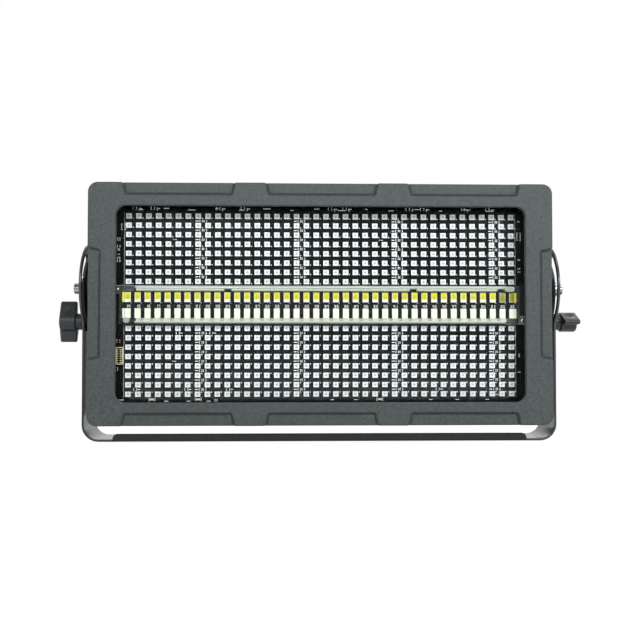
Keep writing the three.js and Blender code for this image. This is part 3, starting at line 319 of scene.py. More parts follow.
class Paint:
    """One material and the only way here to add a node to it."""

    def __init__(self, name):
        self.material = bpy.data.materials.new(name)
        self.material.use_nodes = True
        self.tree = self.material.node_tree
        self.tree.nodes.clear()

    def node(self, kind, settings=(), inputs=(), out=0):
        node = self.tree.nodes.new(kind)
        for key, value in dict(settings).items():
            setattr(node, key, value)
        for key, value in dict(inputs).items():
            if isinstance(value, Line):
                self.tree.links.new(value.socket, node.inputs[key])
            else:
                node.inputs[key].default_value = value
        return Line(self, node.outputs[out])

    def place(self):
        return self.node("ShaderNodeTexCoord", out="Object")

    def axes(self, vector):
        node = self.node("ShaderNodeSeparateXYZ", inputs={0: vector}).socket.node
        return [Line(self, node.outputs[i]) for i in range(3)]

    def stretched(self, vector, x, y, z):
        return self.node("ShaderNodeVectorMath", {"operation": "MULTIPLY"}, {0: vector, 1: (x, y, z)})

    def noise(self, vector, scale, detail=3.0, rough=0.55):
        inputs = dict(Vector=vector, Scale=scale, Detail=detail, Roughness=rough)
        return self.node("ShaderNodeTexNoise", (), inputs)

    def mix(self, share, first, second):
        """Colour mix: a share of the second over the first."""
        first, second = (c if isinstance(c, Line) else (*c[:3], 1) for c in (first, second))
        return self.node("ShaderNodeMix", {"data_type": "RGBA"}, {"Factor": share, 6: first, 7: second}, 2)

    def bump(self, height, strength, distance):
        return self.node("ShaderNodeBump", (), dict(Height=height, Strength=strength, Distance=distance))

    def surface(self, **inputs):
        """The Principled shader with these sockets, as the material's surface."""
        names = {key.replace("_", " "): value for key, value in inputs.items()}
        self.show(self.node("ShaderNodeBsdfPrincipled", inputs=names))

    def show(self, shader):
        output = self.tree.nodes.new("ShaderNodeOutputMaterial")
        self.tree.links.new(shader.socket, output.inputs["Surface"])


def shade(r, g, b, scale=1.0):
    """A screen colour in 0..255 as the light it stands for."""
    c = np.array([r, g, b]) / 255
    c = np.where(c <= 0.04045, c / 12.92, ((c + 0.055) / 1.055) ** 2.4) * scale
    return (*c.tolist(), 1.0)


print("mid grey as light:", round(shade(128, 128, 128)[0], 3))

# %% [markdown]
# ## Finishes
# Every finish starts from a colour and then breaks it up: a slow cloud of tone that no real surface is
# without, a fine grain that the lamp picks out, and a gloss that varies a little. Photographs of
# surfaces would do this too, but they blur up close and need a mapping, while noise in the object's
# own coordinates stays crisp at any distance and never shows a seam.

# %% Paints, plastics and rubber
def textured(name, colour, grain, height, roughness, speck=0.10, sheen=0.5, cloud=0.12, metallic=0.0):
    """Colour x (1 + cloud x slow noise + speck x fine noise); gloss and relief follow the fine noise.
    grain is the size of a grain in mm, height its relief in mm."""
    paint = Paint(name)
    where = paint.place()
    slow = paint.noise(where, 26, 2) - 0.5
    fine = paint.noise(where, 1000 / grain, 2, 0.6)
    body = paint.mix(fine.between(0.25, 0.75), shade(*colour, 1 - speck), shade(*colour, 1 + speck))
    body = paint.mix((slow * (4 * cloud) + 0.5).between(0.0, 1.0), paint.mix(cloud, body, (0, 0, 0)), body)
    paint.surface(Base_Color=body, Roughness=(fine - 0.5) * 0.25 + slow * 0.1 + roughness, Metallic=metallic,
                  IOR=1.45, Coat_Weight=0.0, Coat_Roughness=0.2, Specular_IOR_Level=sheen,
                  Normal=paint.bump(fine, 0.5, height / 1000))


# Colour, grain, height and roughness, then speck, sheen, cloud and metallic where they aren't the usual.
plain = {
    "bezel_grey": ((59, 65, 65), 1.3, 0.07, 0.5, 0.32, 0.26), "housing_grey": ((64, 71, 70), 0.8, 0.08, 0.5),
    # The yoke's cut edges take a lighter paint than its faces: a painted highlight where the edges catch the
    # lamps.
    "yoke_black": ((24, 28, 30), 0.55, 0.03, 0.2, 0.12), "yoke_edge": ((50, 55, 57), 0.55, 0.03, 0.3, 0.12),
    "panel_black": ((34, 37, 39), 0.5, 0.05, 0.42), "knob_black": ((27, 32, 34), 0.9, 0.02, 0.42, 0.08),
    "moulded_black": ((26, 28, 30), 1.2, 0.02, 0.42, 0.06), "button_rubber": ((24, 24, 25), 0.4, 0.02, 0.75),
    "gasket_rubber": ((18, 18, 18), 0.6, 0.03, 0.8), "pad_fibre": ((17, 18, 18), 0.35, 0.08, 0.85, 0.4),
    # The lighter grey for the friction pad's upper part is painted light on its lit top; the fibre is the
    # black below.
    "pad_edge": ((58, 64, 64), 0.35, 0.05, 0.6, 0.2), "rail_white": ((204, 211, 200), 2.5, 0.02, 0.3, 0.05),
    "package_white": ((232, 236, 236), 1.0, 0.01, 0.45, 0.02, 0.5, 0.06),
    "print_white": ((248, 251, 250), 0.3, 0.01, 0.6, 0.04), "resistor_dark": ((52, 52, 50), 0.4, 0.02, 0.5),
    "connector_cream": ((226, 214, 178), 0.8, 0.02, 0.45, 0.05),
    "copper_pad": ((214, 128, 84), 0.5, 0.01, 0.35, 0.1, 0.5, 0.12, 0.4),
    "display_smoke": ((14, 20, 24), 8, 0.001, 0.08, 0.1)}
for name, numbers in plain.items():
    textured(name, *numbers)
print("plain finishes:", len(plain))

# %% [markdown]
# Metals need another recipe: nearly all their look is in how they scatter reflections. Fine lines left
# by a tool are noise stretched along one direction, and they change the gloss more than the colour.

# %% Metals
def metal(name, colour, roughness, lines=(1, 1, 1)):
    """Gloss and tone follow noise stretched by the factors in lines: small factors run along the marks."""
    paint = Paint(name)
    where = paint.place()
    marks = paint.noise(paint.stretched(where, *lines), 900, 3, 0.6)
    slow = paint.noise(where, 60, 2)
    body = paint.mix(marks.between(0.2, 0.8), shade(*colour, 0.84), shade(*colour, 1.1))
    body = paint.mix(slow.between(0.3, 0.8, 0.0, 0.25), body, shade(*colour, 0.7))
    paint.surface(Base_Color=body, Metallic=1.0, Roughness=(marks - 0.5) * 0.14 + slow * 0.08 + roughness,
                  Normal=paint.bump(marks, 0.4, 0.00001))


# Colour, roughness, and the stretch of the tool marks along x, y and z.
metals = {"zinc": ((176, 179, 183), 0.24), "bright_screw": ((196, 198, 200), 0.2),
          "turned_steel": ((150, 150, 148), 0.2, (3, 0.3, 0.3)),
          "sink_aluminium": ((172, 175, 177), 0.38, (1, 1, 0.03)),
          "carrier_black": ((44, 46, 48), 0.42, (0.04, 1, 1)),
          "case_steel": ((158, 161, 163), 0.36, (0.05, 1, 1))}
for name, numbers in metals.items():
    metal(name, *numbers)
print("metals:", ", ".join(metals))

# %% [markdown]
# Glass and clear plastic could be refracting shaders, but then no lamp light would reach the LEDs behind
# them without slow, noisy caustics. A thin pane bends nothing visibly, so it is a mix: see-through where
# it is looked at squarely, glossy where the angle is flat, as the Fresnel node gives it.

# %% Clear things
def clear(name, tint, gloss, ior, edge=1.0, haze_and_highlight=None, milk=0.0):
    """Share of gloss = Fresnel x edge + milk over a tinted see-through shader."""
    paint = Paint(name)
    fresnel = paint.node("ShaderNodeFresnel", inputs={"IOR": ior})
    smear = paint.noise(paint.place(), 35, 2)
    share = fresnel * edge + smear.between(0.3, 0.8, 0.0, milk * 0.3) + milk
    colour = shade(*(haze_and_highlight or tint), 1.0 if haze_and_highlight else 0.25)
    inputs = {"Base Color": colour, "Roughness": smear * 0.03 + gloss, "IOR": ior}
    shine = paint.node("ShaderNodeBsdfPrincipled", (), inputs)
    through = paint.node("ShaderNodeBsdfTransparent", inputs={"Color": shade(*tint)})
    paint.show(paint.node("ShaderNodeMixShader", inputs={0: share, 1: through, 2: shine}))


clear("pane_glass", (254, 255, 255), 0.02, 1.3, 0.5)
clear("cover_clear", (255, 255, 254), 0.03, 1.4, 0.6)
# This pale milky finish is a painted highlight. The cover's top and bottom walls, the ears' edge strips and
# the end posts take it where they catch and carry light.
clear("cover_rib", (252, 255, 250), 0.08, 1.45, 1.0, (222, 230, 220), 0.42)
clear("ear_clear", (226, 236, 238), 0.05, 1.5, 1.0, (170, 182, 184), 0.16)
print("clear finishes: pane, cover, its painted_highlights and its ears")

# %% [markdown]
# A circuit board is dark lacquer over copper, so where tracks run beneath it the tone shifts a little.
# The tracks are drawn by rounding coordinates to a grid: a cell's own random number says whether the
# track in it runs along or across.

# %% Boards
def board(name, lacquer, track, pitch):
    """Tracks: in each grid cell a random number picks a line along x or z; the line is where the distance
    to the cell's middle is under a quarter of the cell."""
    paint = Paint(name)
    where = paint.stretched(paint.place(), 1000 / pitch, 1000 / pitch, 1000 / pitch)
    x, _, z = paint.axes(where)
    cell = paint.node("ShaderNodeVectorMath", {"operation": "FLOOR"}, {0: where})
    chance = paint.node("ShaderNodeTexWhiteNoise", {"noise_dimensions": "3D"}, {"Vector": cell})
    along, across = [(v.apply("FRACT") - 0.5).apply("ABSOLUTE") for v in (z, x)]
    pick = chance > 0.5
    near = along * pick + across * (1 - pick)
    line = near.between(0.18, 0.24, 1.0, 0.0) * (chance > 0.22)
    cloud = paint.noise(paint.place(), 40, 3)
    body = paint.mix(line * 0.8, shade(*lacquer), shade(*track))
    body = paint.mix(cloud.between(0.3, 0.8, 0.0, 0.5), body, shade(*lacquer, 0.6))
    paint.surface(Base_Color=body, Roughness=cloud * 0.06 + line * -0.04 + 0.14, Specular_IOR_Level=0.35,
                  Normal=paint.bump(line, 0.3, 0.00004))


board("board_black", (5, 7, 8), (15, 19, 20), 2.1)
board("board_green", (24, 74, 44), (46, 112, 66), 1.7)
print("boards: black and green")

# %% [markdown]
# An LED's gel is a coloured resin. In the colour packages it is milky, with the chips as a darker patch
# under the middle. In the strobe packages it is a yellow phosphor, strong in the upper row. Some of the
# strobe colours are painted light: the cream towards the upper row's lower edge is a painted reflection,
# the near-cream of the lower row is the same phosphor painted lit, the darker copy is painted shade, and
# the two end resins colour painted reflections of the end packages in the clear end walls.

# %% LED resins
PITCH_X, PITCH_Z, COLUMNS, ROWS, FIRST = 8.762, 8.336, 40, 8, 20.84
COLUMN_X = (np.arange(COLUMNS) - (COLUMNS - 1) / 2) * PITCH_X
ROW_Z = FIRST + np.arange(ROWS) * PITCH_Z
STROBE_Z, STROBE_LOWER = 7.1, 0.45


def resin(name, rim, heart, lowest, pitch_z=PITCH_Z, size=(3.6, 3.4), edge=None):
    """Within each package: heart colour at the middle, rim colour outside; edge colours the lowest part,
    where it is a painted reflection of the lamp. The cells start at the height lowest, and size is how far
    the heart reaches."""
    paint = Paint(name)
    x, _, z = paint.axes(paint.place())
    u = ((x * 1000 + (PITCH_X / 2 - COLUMN_X[0])) / PITCH_X).apply("FRACT") - 0.5
    v = ((z * 1000 + (-lowest - HEAD[2])) / pitch_z).apply("FRACT") - 0.5
    sides = ((u, PITCH_X, size[0]), (v, pitch_z, size[1]))
    across, up = [(d * (2 * p / s)).apply("POWER", 2) for d, p, s in sides]
    body = paint.mix((across + up).apply("SQRT").between(0.1, 1.0), shade(*heart), shade(*rim))
    if edge:
        body = paint.mix((v * pitch_z).between(-2.6, -1.2, 1.0, 0.0), body, shade(*edge))
    grain = paint.noise(paint.place(), 1500, 2)
    body = paint.mix(grain.between(0.3, 0.7, 0.0, 0.08), body, (0.3, 0.3, 0.28))
    paint.surface(Base_Color=body, Roughness=grain * 0.1 + 0.2, Coat_Weight=0.4, Coat_Roughness=0.1,
                  Normal=paint.bump(grain, 0.2, 0.00002))


MILK, CREAM = ((226, 232, 232), (152, 162, 164)), (255, 255, 240)
resin("led_milk", *MILK, FIRST - PITCH_Z / 2)
resin("led_milk_low", *MILK, -ROW_Z[-1] - PITCH_Z / 2)
# The upper phosphor's cream lower edge is a painted reflection. The lower phosphor is the same yellow
# phosphor painted as lit, nearly cream. The shaded copy is painted shade, and the two end resins are painted
# reflections of the end packages.
for name, rim, heart, size, edge in (
        ("phosphor_upper", (232, 226, 44), (204, 196, 4), (5.2, 8.8), CREAM),
        ("phosphor_shaded", (160, 158, 40), (128, 126, 10), (5.2, 8.8), None),
        ("phosphor_lower", CREAM, (255, 254, 228), (5.2, 8.8), None),
        ("end_glow_upper", (250, 244, 60), (232, 222, 30), (9, 9), None),
        ("end_glow_lower", CREAM, (250, 250, 224), (9, 9), None)):
    resin(name, rim, heart, -2 * STROBE_Z - STROBE_LOWER, 2 * STROBE_Z, size, edge)
print("resins for", 2 * ROWS * COLUMNS, "colour LEDs and", 2 * COLUMNS, "strobe LEDs")

# %% [markdown]
# ## The camera and the light
# The picture was taken from low in front and a little to the left, with the lens level enough that the
# yoke's base is seen almost edge on. We could light it with one big lamp, but the picture shows two
# things at once: the first row of LEDs lies in the bezel's own shadow, so one soft lamp stands in front
# and somewhat above, and every edge has a pale reflection, so the rest is a bright even surround.

# %% Camera
camera = bpy.data.objects.new("camera", bpy.data.cameras.new("camera"))
bpy.context.scene.collection.objects.link(camera)
camera.data.lens, camera.data.sensor_width = 50.5, 36
camera.data.clip_start, camera.data.clip_end = 0.01, 50
camera.location = (-0.02625, -0.83662, 0.08351)
camera.rotation_euler = (math.radians(90 + 1.75), 0, math.radians(-1.81))
bpy.context.scene.camera = camera
bpy.context.scene.view_settings.view_transform = "Standard"
print("camera", round(camera.location.length, 3), "m from the floor's middle")


# %% Lamps
def lamp(name, place, target, width, height, power):
    """A rectangular soft lamp that shines from a place towards a target."""
    data = bpy.data.lights.new(name, "AREA")
    data.shape, data.size, data.size_y, data.energy = "RECTANGLE", width, height, power
    obj = bpy.data.objects.new(name, data)
    bpy.context.scene.collection.objects.link(obj)
    obj.location = place
    obj.rotation_euler = (Vector(target) - Vector(place)).to_track_quat("-Z", "Y").to_euler()


lamp("key", (-0.25, -1.85, 0.93), (0, 0, 0.12), 0.4, 0.3, 20.5)
lamp("right_fill", (1.9, -1.1, 0.9), (0, 0, 0.12), 1.2, 1.2, 11)
lamp("sheen", (0.9, -1.75, 0.82), (0.15, 0, 0.2), 0.4, 0.4, 20)
lamp("left_fill", (-2.1, -0.42, 0.55), (0, 0, 0.12), 0.9, 1.2, 14)
lamp("overhead", (0.5, -0.5, 1.7), (0.1, 0, 0.15), 0.8, 0.5, 9)
lamp("back_fill", (0.3, 2.0, 1.4), (0, 0, 0.12), 1.4, 1.0, 14)
print("lamps:", len(bpy.data.lights))

# %% [markdown]
# A studio is white behind the object and dark behind the camera. That matters more than the lamps: a
# black surface that faces us mirrors the dark side and stays black, while the yoke's inner faces, seen
# at a flat angle, mirror the white wall behind and turn pale. So the surround's light depends on
# direction. One even white would be simpler, but it lays a grey veil over everything.

# %% Surround
world = bpy.data.worlds.new("surround")
bpy.context.scene.world = world
world.use_nodes = True
sky_paint = Paint("surround_sums")
sky_paint.tree = world.node_tree
sky_paint.tree.nodes.clear()
_, towards_back, upwards = sky_paint.axes(sky_paint.node("ShaderNodeTexCoord", out="Generated"))
mirrored_light = towards_back.between(-0.55, 0.25, 0.10, 1.0)
even_light = towards_back.between(-0.9, 0.6, 0.09, 0.7) + upwards.between(-0.2, 0.9, 0.0, 0.12)
rays = sky_paint.node("ShaderNodeLightPath").socket.node
is_camera, is_glossy, is_through = (Line(sky_paint, rays.outputs["Is " + kind + " Ray"])
                                    for kind in ("Camera", "Glossy", "Transmission"))
seen = is_camera.apply("MAXIMUM", is_through)
light = mirrored_light * is_glossy + even_light * (1 - is_glossy)
sky_inputs = {"Color": (1, 1, 1, 1), "Strength": seen + light * (1 - seen)}
sky = sky_paint.node("ShaderNodeBackground", inputs=sky_inputs)
sky_paint.tree.links.new(sky.socket, sky_paint.tree.nodes.new("ShaderNodeOutputWorld").inputs[0])
bpy.data.materials.remove(sky_paint.material)
print("surround: white behind, dark behind the camera")

# %% Floor
floor_paint = Paint("floor_white")
ray = floor_paint.node("ShaderNodeLightPath")
matte = floor_paint.node("ShaderNodeBsdfDiffuse", inputs={"Color": (0.86, 0.86, 0.86, 1)})
glow = floor_paint.node("ShaderNodeEmission", inputs={"Color": (1, 1, 1, 1), "Strength": 1.17})
floor_paint.show(floor_paint.node("ShaderNodeMixShader", inputs={0: ray * 0.8, 1: matte, 2: glow}))
floor_mesh = bpy.data.meshes.new("floor")
corners = [(6 * x, 6 * y, -0.001) for x, y in ((-1, -1), (1, -1), (1, 1), (-1, 1))]
floor_mesh.from_pydata(corners, [], [(0, 1, 2, 3)])
floor_mesh.materials.append(floor_paint.material)
floor = bpy.data.objects.new("floor", floor_mesh)
bpy.context.scene.collection.objects.link(floor)
floor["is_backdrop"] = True
print("floor laid 1 mm under the yoke's base")

# %% [markdown]
# ## The bezel
# The front bezel is a cast frame: a flat rim with rounded corners, three shallow finger pockets along
# each long edge and one on each short edge. Cutting the pockets with a Boolean would leave ragged
# shading, so the front is a height field instead: rows run round the frame from its outside to the
# window, and each point's depth is a smooth step of its distance from the nearest pocket's edge.

# %% Pockets
DEEP, CORNER, WINDOW_W, WINDOW_H = 14.0, 8.7, BEZEL_W - 2 * 24.0, BEZEL_H - 2 * 20.15
REACH, HALF_LONG, TAPER, FILLET, POCKET_DEPTH, APART = 12.1, 50.2, 2.8, 3.0, 2.4, 124.409
LONG_SIDE = (-APART, 0, APART)


def pocket_depth(x, z):
    """a runs in from the pocket's inner edge, b from its tapered end. Where both are under the fillet's
    radius r the distance is r - hypot(r - a, r - b). Depth = 2.4 x smoothstep(distance / 2.1), with a
    groove 0.9 deep along the foot of the wall."""
    deepest, lean = np.zeros_like(x), TAPER / REACH
    sides = [(x - m, BEZEL_H / 2 - s * z) for s in (1, -1) for m in LONG_SIDE]
    for along, down in sides + [(z, BEZEL_W / 2 - s * x) for s in (1, -1)]:
        a = REACH - down
        b = (HALF_LONG - np.abs(along) - lean * np.maximum(down, 0)) / math.hypot(1, lean)
        near = np.minimum(a, b)
        rounded = FILLET - np.hypot(np.maximum(FILLET - a, 0), np.maximum(FILLET - b, 0))
        share = np.clip(np.where(near < FILLET, np.minimum(near, rounded), near) / 2.1, 0, 1)
        groove = 0.9 * np.clip(1 - ((near - 2.0) / 1.1) ** 2, 0, 1) ** 2
        deepest = np.maximum(deepest, POCKET_DEPTH * share ** 2 * (3 - 2 * share) + groove)
    return deepest


def stops(limit, middles):
    """Places along one straight side: 0.4 mm apart round the ends of its pockets, 6 mm elsewhere."""
    ends = np.array([(m + s * HALF_LONG, s) for m in middles for s in (-1, 1)])
    dense = [end + np.linspace(-4.6, 2.6, 19) * s for end, s in ends]
    wide = np.linspace(-limit, limit, int(limit / 3) + 1)
    return np.sort(np.concatenate([*dense, wide[np.abs(wide[:, None] - ends[:, 0]).min(1) > 5.2]]))


LIMIT_X, LIMIT_Z = 184, 86
X_STOPS, Z_STOPS = stops(LIMIT_X, LONG_SIDE), stops(LIMIT_Z, (0,))
print("stops along the sides:", len(X_STOPS), len(Z_STOPS))


# %% Rows round the frame
def frame_row(w, h, r, depth, pockets=False):
    """A rounded rectangle whose points stand at the stops on the sides and evenly round the corners."""
    half_x, half_z = w / 2 - r, h / 2 - r
    xs = X_STOPS * min(1, (half_x - 0.6) / LIMIT_X)
    zs = Z_STOPS * min(1, (half_z - 0.6) / LIMIT_Z)
    quarter = np.linspace(0, np.pi / 2, 15)
    arcs = [polar(r, quarter + k * np.pi / 2, sx * half_x, sz * half_z) for k, (sx, sz) in enumerate(SIGNS)]
    sides = [(w / 2, zs), (xs[::-1], h / 2), (-w / 2, zs[::-1]), (xs, -h / 2)]
    loop = np.concatenate([part for side, arc in zip(sides, arcs) for part in (pairs(*side), arc)])
    return np.insert(loop, 1, depth + (pocket_depth(*loop.T) if pockets else 0), 1)


def rim_row(into, depth):
    return frame_row(BEZEL_W - 2 * into, BEZEL_H - 2 * into, max(CORNER - into, 3.0), depth, True)


def window_row(by, depth):
    return frame_row(WINDOW_W + 2 * by, WINDOW_H + 2 * by, CORNER + by, depth)


rows = [frame_row(BEZEL_W - 1, BEZEL_H - 1, CORNER - 0.5, DEEP)]
rows += [frame_row(BEZEL_W, BEZEL_H, CORNER, DEEP - 0.5), rim_row(0, 6.0)]
rows += [rim_row(1.5 * (1 - math.cos(t)), 1.5 * (1 - math.sin(t))) for t in np.linspace(0, np.pi / 2, 6)]
rows += [rim_row(d, 0.0) for d in np.concatenate([np.arange(2.4, 8, 0.9), np.arange(8.1, 13.8, 0.3)])]
rows += [0.5 * (rows[-1] + window_row(0.75, 0))]
rows += [window_row(*w) for w in ((0.75, 0), (0.45, 0.06), (0.06, 0.45), (0, 0.8), (0, 5.7), (0.3, 6.0))]
rows += [frame_row(*w) for w in ((376.418, 190.384, 3.3, 6.0), (376.418, 190.384, 3.3, DEEP - 0.3),
                                 (377.2, 191.2, 3.7, DEEP))]
piece("bezel", skin(rows, ring=True), "bezel_grey", "front_bezel", sharp=25)

# %% [markdown]
# Behind the lip sit a rubber gasket, the pane and a spacer frame. All three are flat plates, two of them
# with one hole, so one loop makes them. Only a sliver of the gasket and the spacer shows, but through
# clear glass a missing sliver is noticed at once.

# %% Gasket, pane and spacer
seat = span("spacer_frame")[3] - 2 * 5.2
for name, node, holes, edge, finish in (
        ("gasket", "glass_gasket", [(WINDOW_W + 2.6, WINDOW_H + 2.6, CORNER + 1.3)], 0.25, "gasket_rubber"),
        ("pane", "front_glass", [], 0.4, "pane_glass"),
        ("spacer", "spacer_frame", [(seat[0], seat[2], 3)], 0.4, "moulded_black")):
    low, high, _, size = span(node)
    piece(name, box_plate(size, 3, 8, low, high, edge, holes=[round_rect(*h) for h in holes]), finish, node)

# %% [markdown]
# ## The colour boards
# Each board carries eight rows of forty LED packages. A package is a white moulded square with a round
# cup full of milky resin. We could model every LED by hand or scatter objects, but one small form
# copied by arithmetic keeps all of them in one mesh, in exact step with the engineer's pitch.

# %% One LED package and the grid
LED_FACE, BOARD_FACE = 22.0, 23.6


def ring(r, depth):
    return np.insert(circle(r, 16), 1, depth, 1)


def square(w, h, depth):
    """A rectangle's points met by rays at even angles, so that it pairs with a ring of as many points."""
    rays = ring(1, 0)
    return rays / np.abs(rays).max(1)[:, None] * [w / 2, 0, h / 2] + [0, depth, 0]


package = skin([square(4.85, 4.6, BOARD_FACE + 0.02), square(4.85, 4.6, LED_FACE + 0.15),
                square(4.6, 4.35, LED_FACE), ring(2.05, LED_FACE), ring(1.75, LED_FACE + 0.3)],
               finish=[0, 0, 0, 1])
package[3][-2] = 0
grid = np.array([(x, 0, z) for z in ROW_Z for x in COLUMN_X])
print("one package:", len(package[2]), "faces; places on a board:", len(grid))


# %% [markdown]
# Between the packages the board is printed: a dot by each LED's first pin, dashes and bracketed marks
# every ten columns, and a fine line round the grid. Print could be a texture, but a texture needs to be
# very large to stay sharp here. Boxes a tenth of a millimetre thick are sharper and cheaper.

# %% Small flat boxes
def blocks(table, finish=0):
    """Boxes from rows of x, z, width, height, front, back. Each is six faces with outward corners."""
    t = np.asarray(table, float).reshape(-1, 6, 1)
    x = t[:, 0] + t[:, 2] * np.array([-1, 1, 1, -1]) / 2
    z = t[:, 1] + t[:, 3] * np.array([-1, -1, 1, 1]) / 2
    faces = [np.stack([x, np.repeat(t[:, k], 4, 1), z], 2) for k in (4, 5)]
    pattern = np.array([0, 1, 2, 3, 7, 6, 5, 4, 0, 4, 5, 1, 1, 5, 6, 2, 2, 6, 7, 3, 3, 7, 4, 0])
    loops = (pattern + 8 * np.arange(len(t))[:, None]).ravel()
    return np.stack(faces, 1).reshape(-1, 3), loops, np.full(6 * len(t), 4), np.full(6 * len(t), finish)


def flat_boxes(marks, face, front, back=0.02, finish=0):
    """Marks (x, z, width, height) that stand proud of a face by front and are sunk in it by back."""
    return blocks([(*mark, face - front, face + back) for mark in marks], finish)


def bracket(x, z, w, h):
    """Four strokes that hold a small part between them: two uprights with short feet."""
    uprights = [(x + s * w / 2, z, 0.36, h) for s in (-1, 1)]
    return uprights + [(x + s * (w / 2 - 0.3), z + t * h / 2, 0.7, 0.36) for s in (-1, 1) for t in (-1, 1)]


gaps = FIRST + (np.arange(ROWS - 1) + 0.5) * PITCH_Z
spots = [(x, z) for z in gaps for x in -107.0 + 87.62 * np.arange(4)]
common = [(x + 3.6, z - 1.75, 0.8, 0.8) for x, _, z in grid]
for x, z in spots:
    common += [(x - 3.6, z, 2.6, 0.6)] + bracket(x, z, 2.6, 1.7) + bracket(x + 3.6, z, 2.6, 1.7)
common += [(s * 174.9, FIRST + 3.5 * PITCH_Z, 0.14, 7 * PITCH_Z + 6.4) for s in (-1, 1)]
chips = [(x + dx, z, 1.5, 0.8) for x, z in spots for dx in (0, 3.5)]
print("printed marks on each board:", len(common))

# %% Marks that differ between the boards
# Each mark is x, z, width and height in head millimetres, measured in the photograph.
upper = [(x, 84.9 + 1.2 * (k % 2), 2.6 + 2 * (k % 3), 0.6) for k, x in enumerate(np.arange(-160, 165, 22.3))]
for x in (-166, -150, -92, -70, 8, 21, 78, 91, 128, 150):
    upper += bracket(x, 86.2, 3.2, 2.2) + [(x + 4.0, 85.4, 0.6, 2.6), (x + 5.6, 86.0, 1.8, 0.6)]
upper += bracket(-175.7, 69.6, 3.6, 5.4) + [(x, 58.3, 1.6, 0.4) for x in (-129.4, 54.6)]
for z, w, h in ((58.5, 2.0, 2.4), (52.3, 2.4, 1.6), (49.2, 1.4, 1.4), (41.7, 2.0, 1.6), (39.0, 2.6, 1.2),
                (45.0, 1.2, 0.7)):
    upper += bracket(-179.9, z, w, h)
upper += bracket(178.2, 62.0, 3.0, 7.0) + [(178.3, z, 2.4, 0.4) for z in (30.0, 33.0, 41.0, 75.5)]
lower = [(-178.0, -84.2, 6.6, 0.5)] + [(x, -85.4, 3.4, 0.5) for x in (-137.1, -117.6, -99.9)]
lower += bracket(-93.3, -84.7, 2.2, 1.6) + bracket(-181.2, -56.7, 2.2, 2.6) + [(-129.6, -50.0, 1.6, 0.4)]
LARGE_X = (-149.7, -108.9, 52.4)
for x in LARGE_X:
    lower += bracket(x, -83.8, 5.4, 2.4)
for x, row in ((-127.3, 0), (-97.7, 0), (-164.6, 6), (-119.5, 6), (-82.6, 6), (104.5, 6)):
    lower += bracket(x, -gaps[row], 3.0, 1.7) + [(x + 3.2, -gaps[row], 2.0, 0.5)]
lower += [(x, -79.9, 0.9, 0.9) for x in (156.9, 158.6)]
lower += [(x, -84.3, 3.0, 0.45) for x in (10, 31, 98, 122, 149)]
lower += [(x, -31.4, 0.9, 0.5) for x in (-181.1, -178.5)]
lower += [(178.0, -60.0, 2.6, 0.5), (178.0, -45.0, 0.5, 3.4)]
walls = [(-178.5 + 3.1 * s, -45.2, 0.7, 15.0) for s in (-1, 1)]
walls += [(-178.5, -45.2 + 7.3 * s, 6.0, 0.7) for s in (-1, 1)]
teeth = [(-178.9 + 1.6 * s, z, 1.6, 0.8) for s in (-1, 1) for z in np.arange(-51.2, -38.8, 1.9)]
large = [(x, -83.8, 3.6, 1.5) for x in LARGE_X]
moulded = [flat_boxes(boxes, BOARD_FACE, front, finish=2)
           for boxes, front in ((walls, 2.6), (teeth, 1.9), (large, 0.8))]
upper_pads = [(-131.43, 58.35), (52.57, 58.35)]
lower_pads = [(-131.43, -50.02), (-181.1, -33.2), (-178.5, -33.2)]
print("own marks:", len(upper), "above and", len(lower), "below")

# %% Both boards
pad = lathe([(BOARD_FACE + 0.02, 0.62), (BOARD_FACE - 0.07, 0.6), (BOARD_FACE - 0.09, 0.5)], 14)
for side, sign, milk, marks, pads, extra in (("upper", 1, "led_milk", upper, upper_pads, []),
                                             ("lower", -1, "led_milk_low", lower, lower_pads, moulded)):
    low, high, middle, size = span(side + "_led_board")
    base = box_plate(size, 2, 3, (0, BOARD_FACE), high, 0.15, 1)
    piece(side + "_board", moved(base, z=middle[2]), "board_black", side + "_led_board")
    leds = gather(*[moved(package, *place) for place in grid * [1, 1, sign]])
    piece(side + "_leds", leds, "package_white " + milk)
    mirrored = [(x, sign * z, w, h) for x, z, w, h in common]
    piece(side + "_print", flat_boxes(mirrored + marks, BOARD_FACE, 0.06, 0.03), "print_white")
    small = flat_boxes([(x, sign * z, w, h) for x, z, w, h in chips], BOARD_FACE, 0.45)
    copper = painted(gather(*[moved(pad, x=x, z=z) for x, z in pads]), 1)
    piece(side + "_chips", gather(small, copper, *extra), "resistor_dark copper_pad connector_cream")

# %% [markdown]
# ## The strobe strip
# Across the middle runs a narrower board with two rows of tall white LEDs under a clear channel. The
# upper row shows its yellow phosphor. The lower row, which faces the lamp more squarely, looks nearly
# cream, and that cream is painted light on the same phosphor. Pale rails with sloping faces throw stray
# light forward; the lower one carries a painted reflection of the LEDs.

# %% Strobe LEDs with their numbers
STROBE_FACE, STROBE_BOARD = 18.3, 19.3
steps = ((5.3, STROBE_BOARD + 0.02), (5.3, STROBE_FACE + 0.12), (5.12, STROBE_FACE), (4.8, STROBE_FACE),
         (4.6, STROBE_FACE + 0.08))
tall = skin([*[square(w, w + 3.4, depth) for w, depth in steps], square(2.0, 4.0, STROBE_FACE + 0.03)],
            finish=[0, 0, 0, 1, 1])
tall[3][-2] = 0
SEGMENTS = ["abcdef", "bc", "abged", "abgcd", "fgbc", "afgcd", "afgedc", "abc", "abcdefg", "abcdfg"]
STROKES = dict(a=(0, 1, 1, 0), b=(0.5, 0.5, 0, 1), c=(0.5, -0.5, 0, 1), d=(0, -1, 1, 0), e=(-0.5, -0.5, 0, 1),
               f=(-0.5, 0.5, 0, 1), g=(0, 0, 1, 0))


def numeral(value, x, z, w=1.1, h=0.95, line=0.5):
    """Strokes of a two-digit number: each stroke has a middle (times w and h) and a direction."""
    table = []
    for k, digit in enumerate(str(value)):
        left = x + (k - 0.5) * 2.1
        for cx, cz, across, up in (STROKES[name] for name in SEGMENTS[int(digit)]):
            table.append((left + cx * w, z + cz * h, w * across + line, h * up + line))
    return table


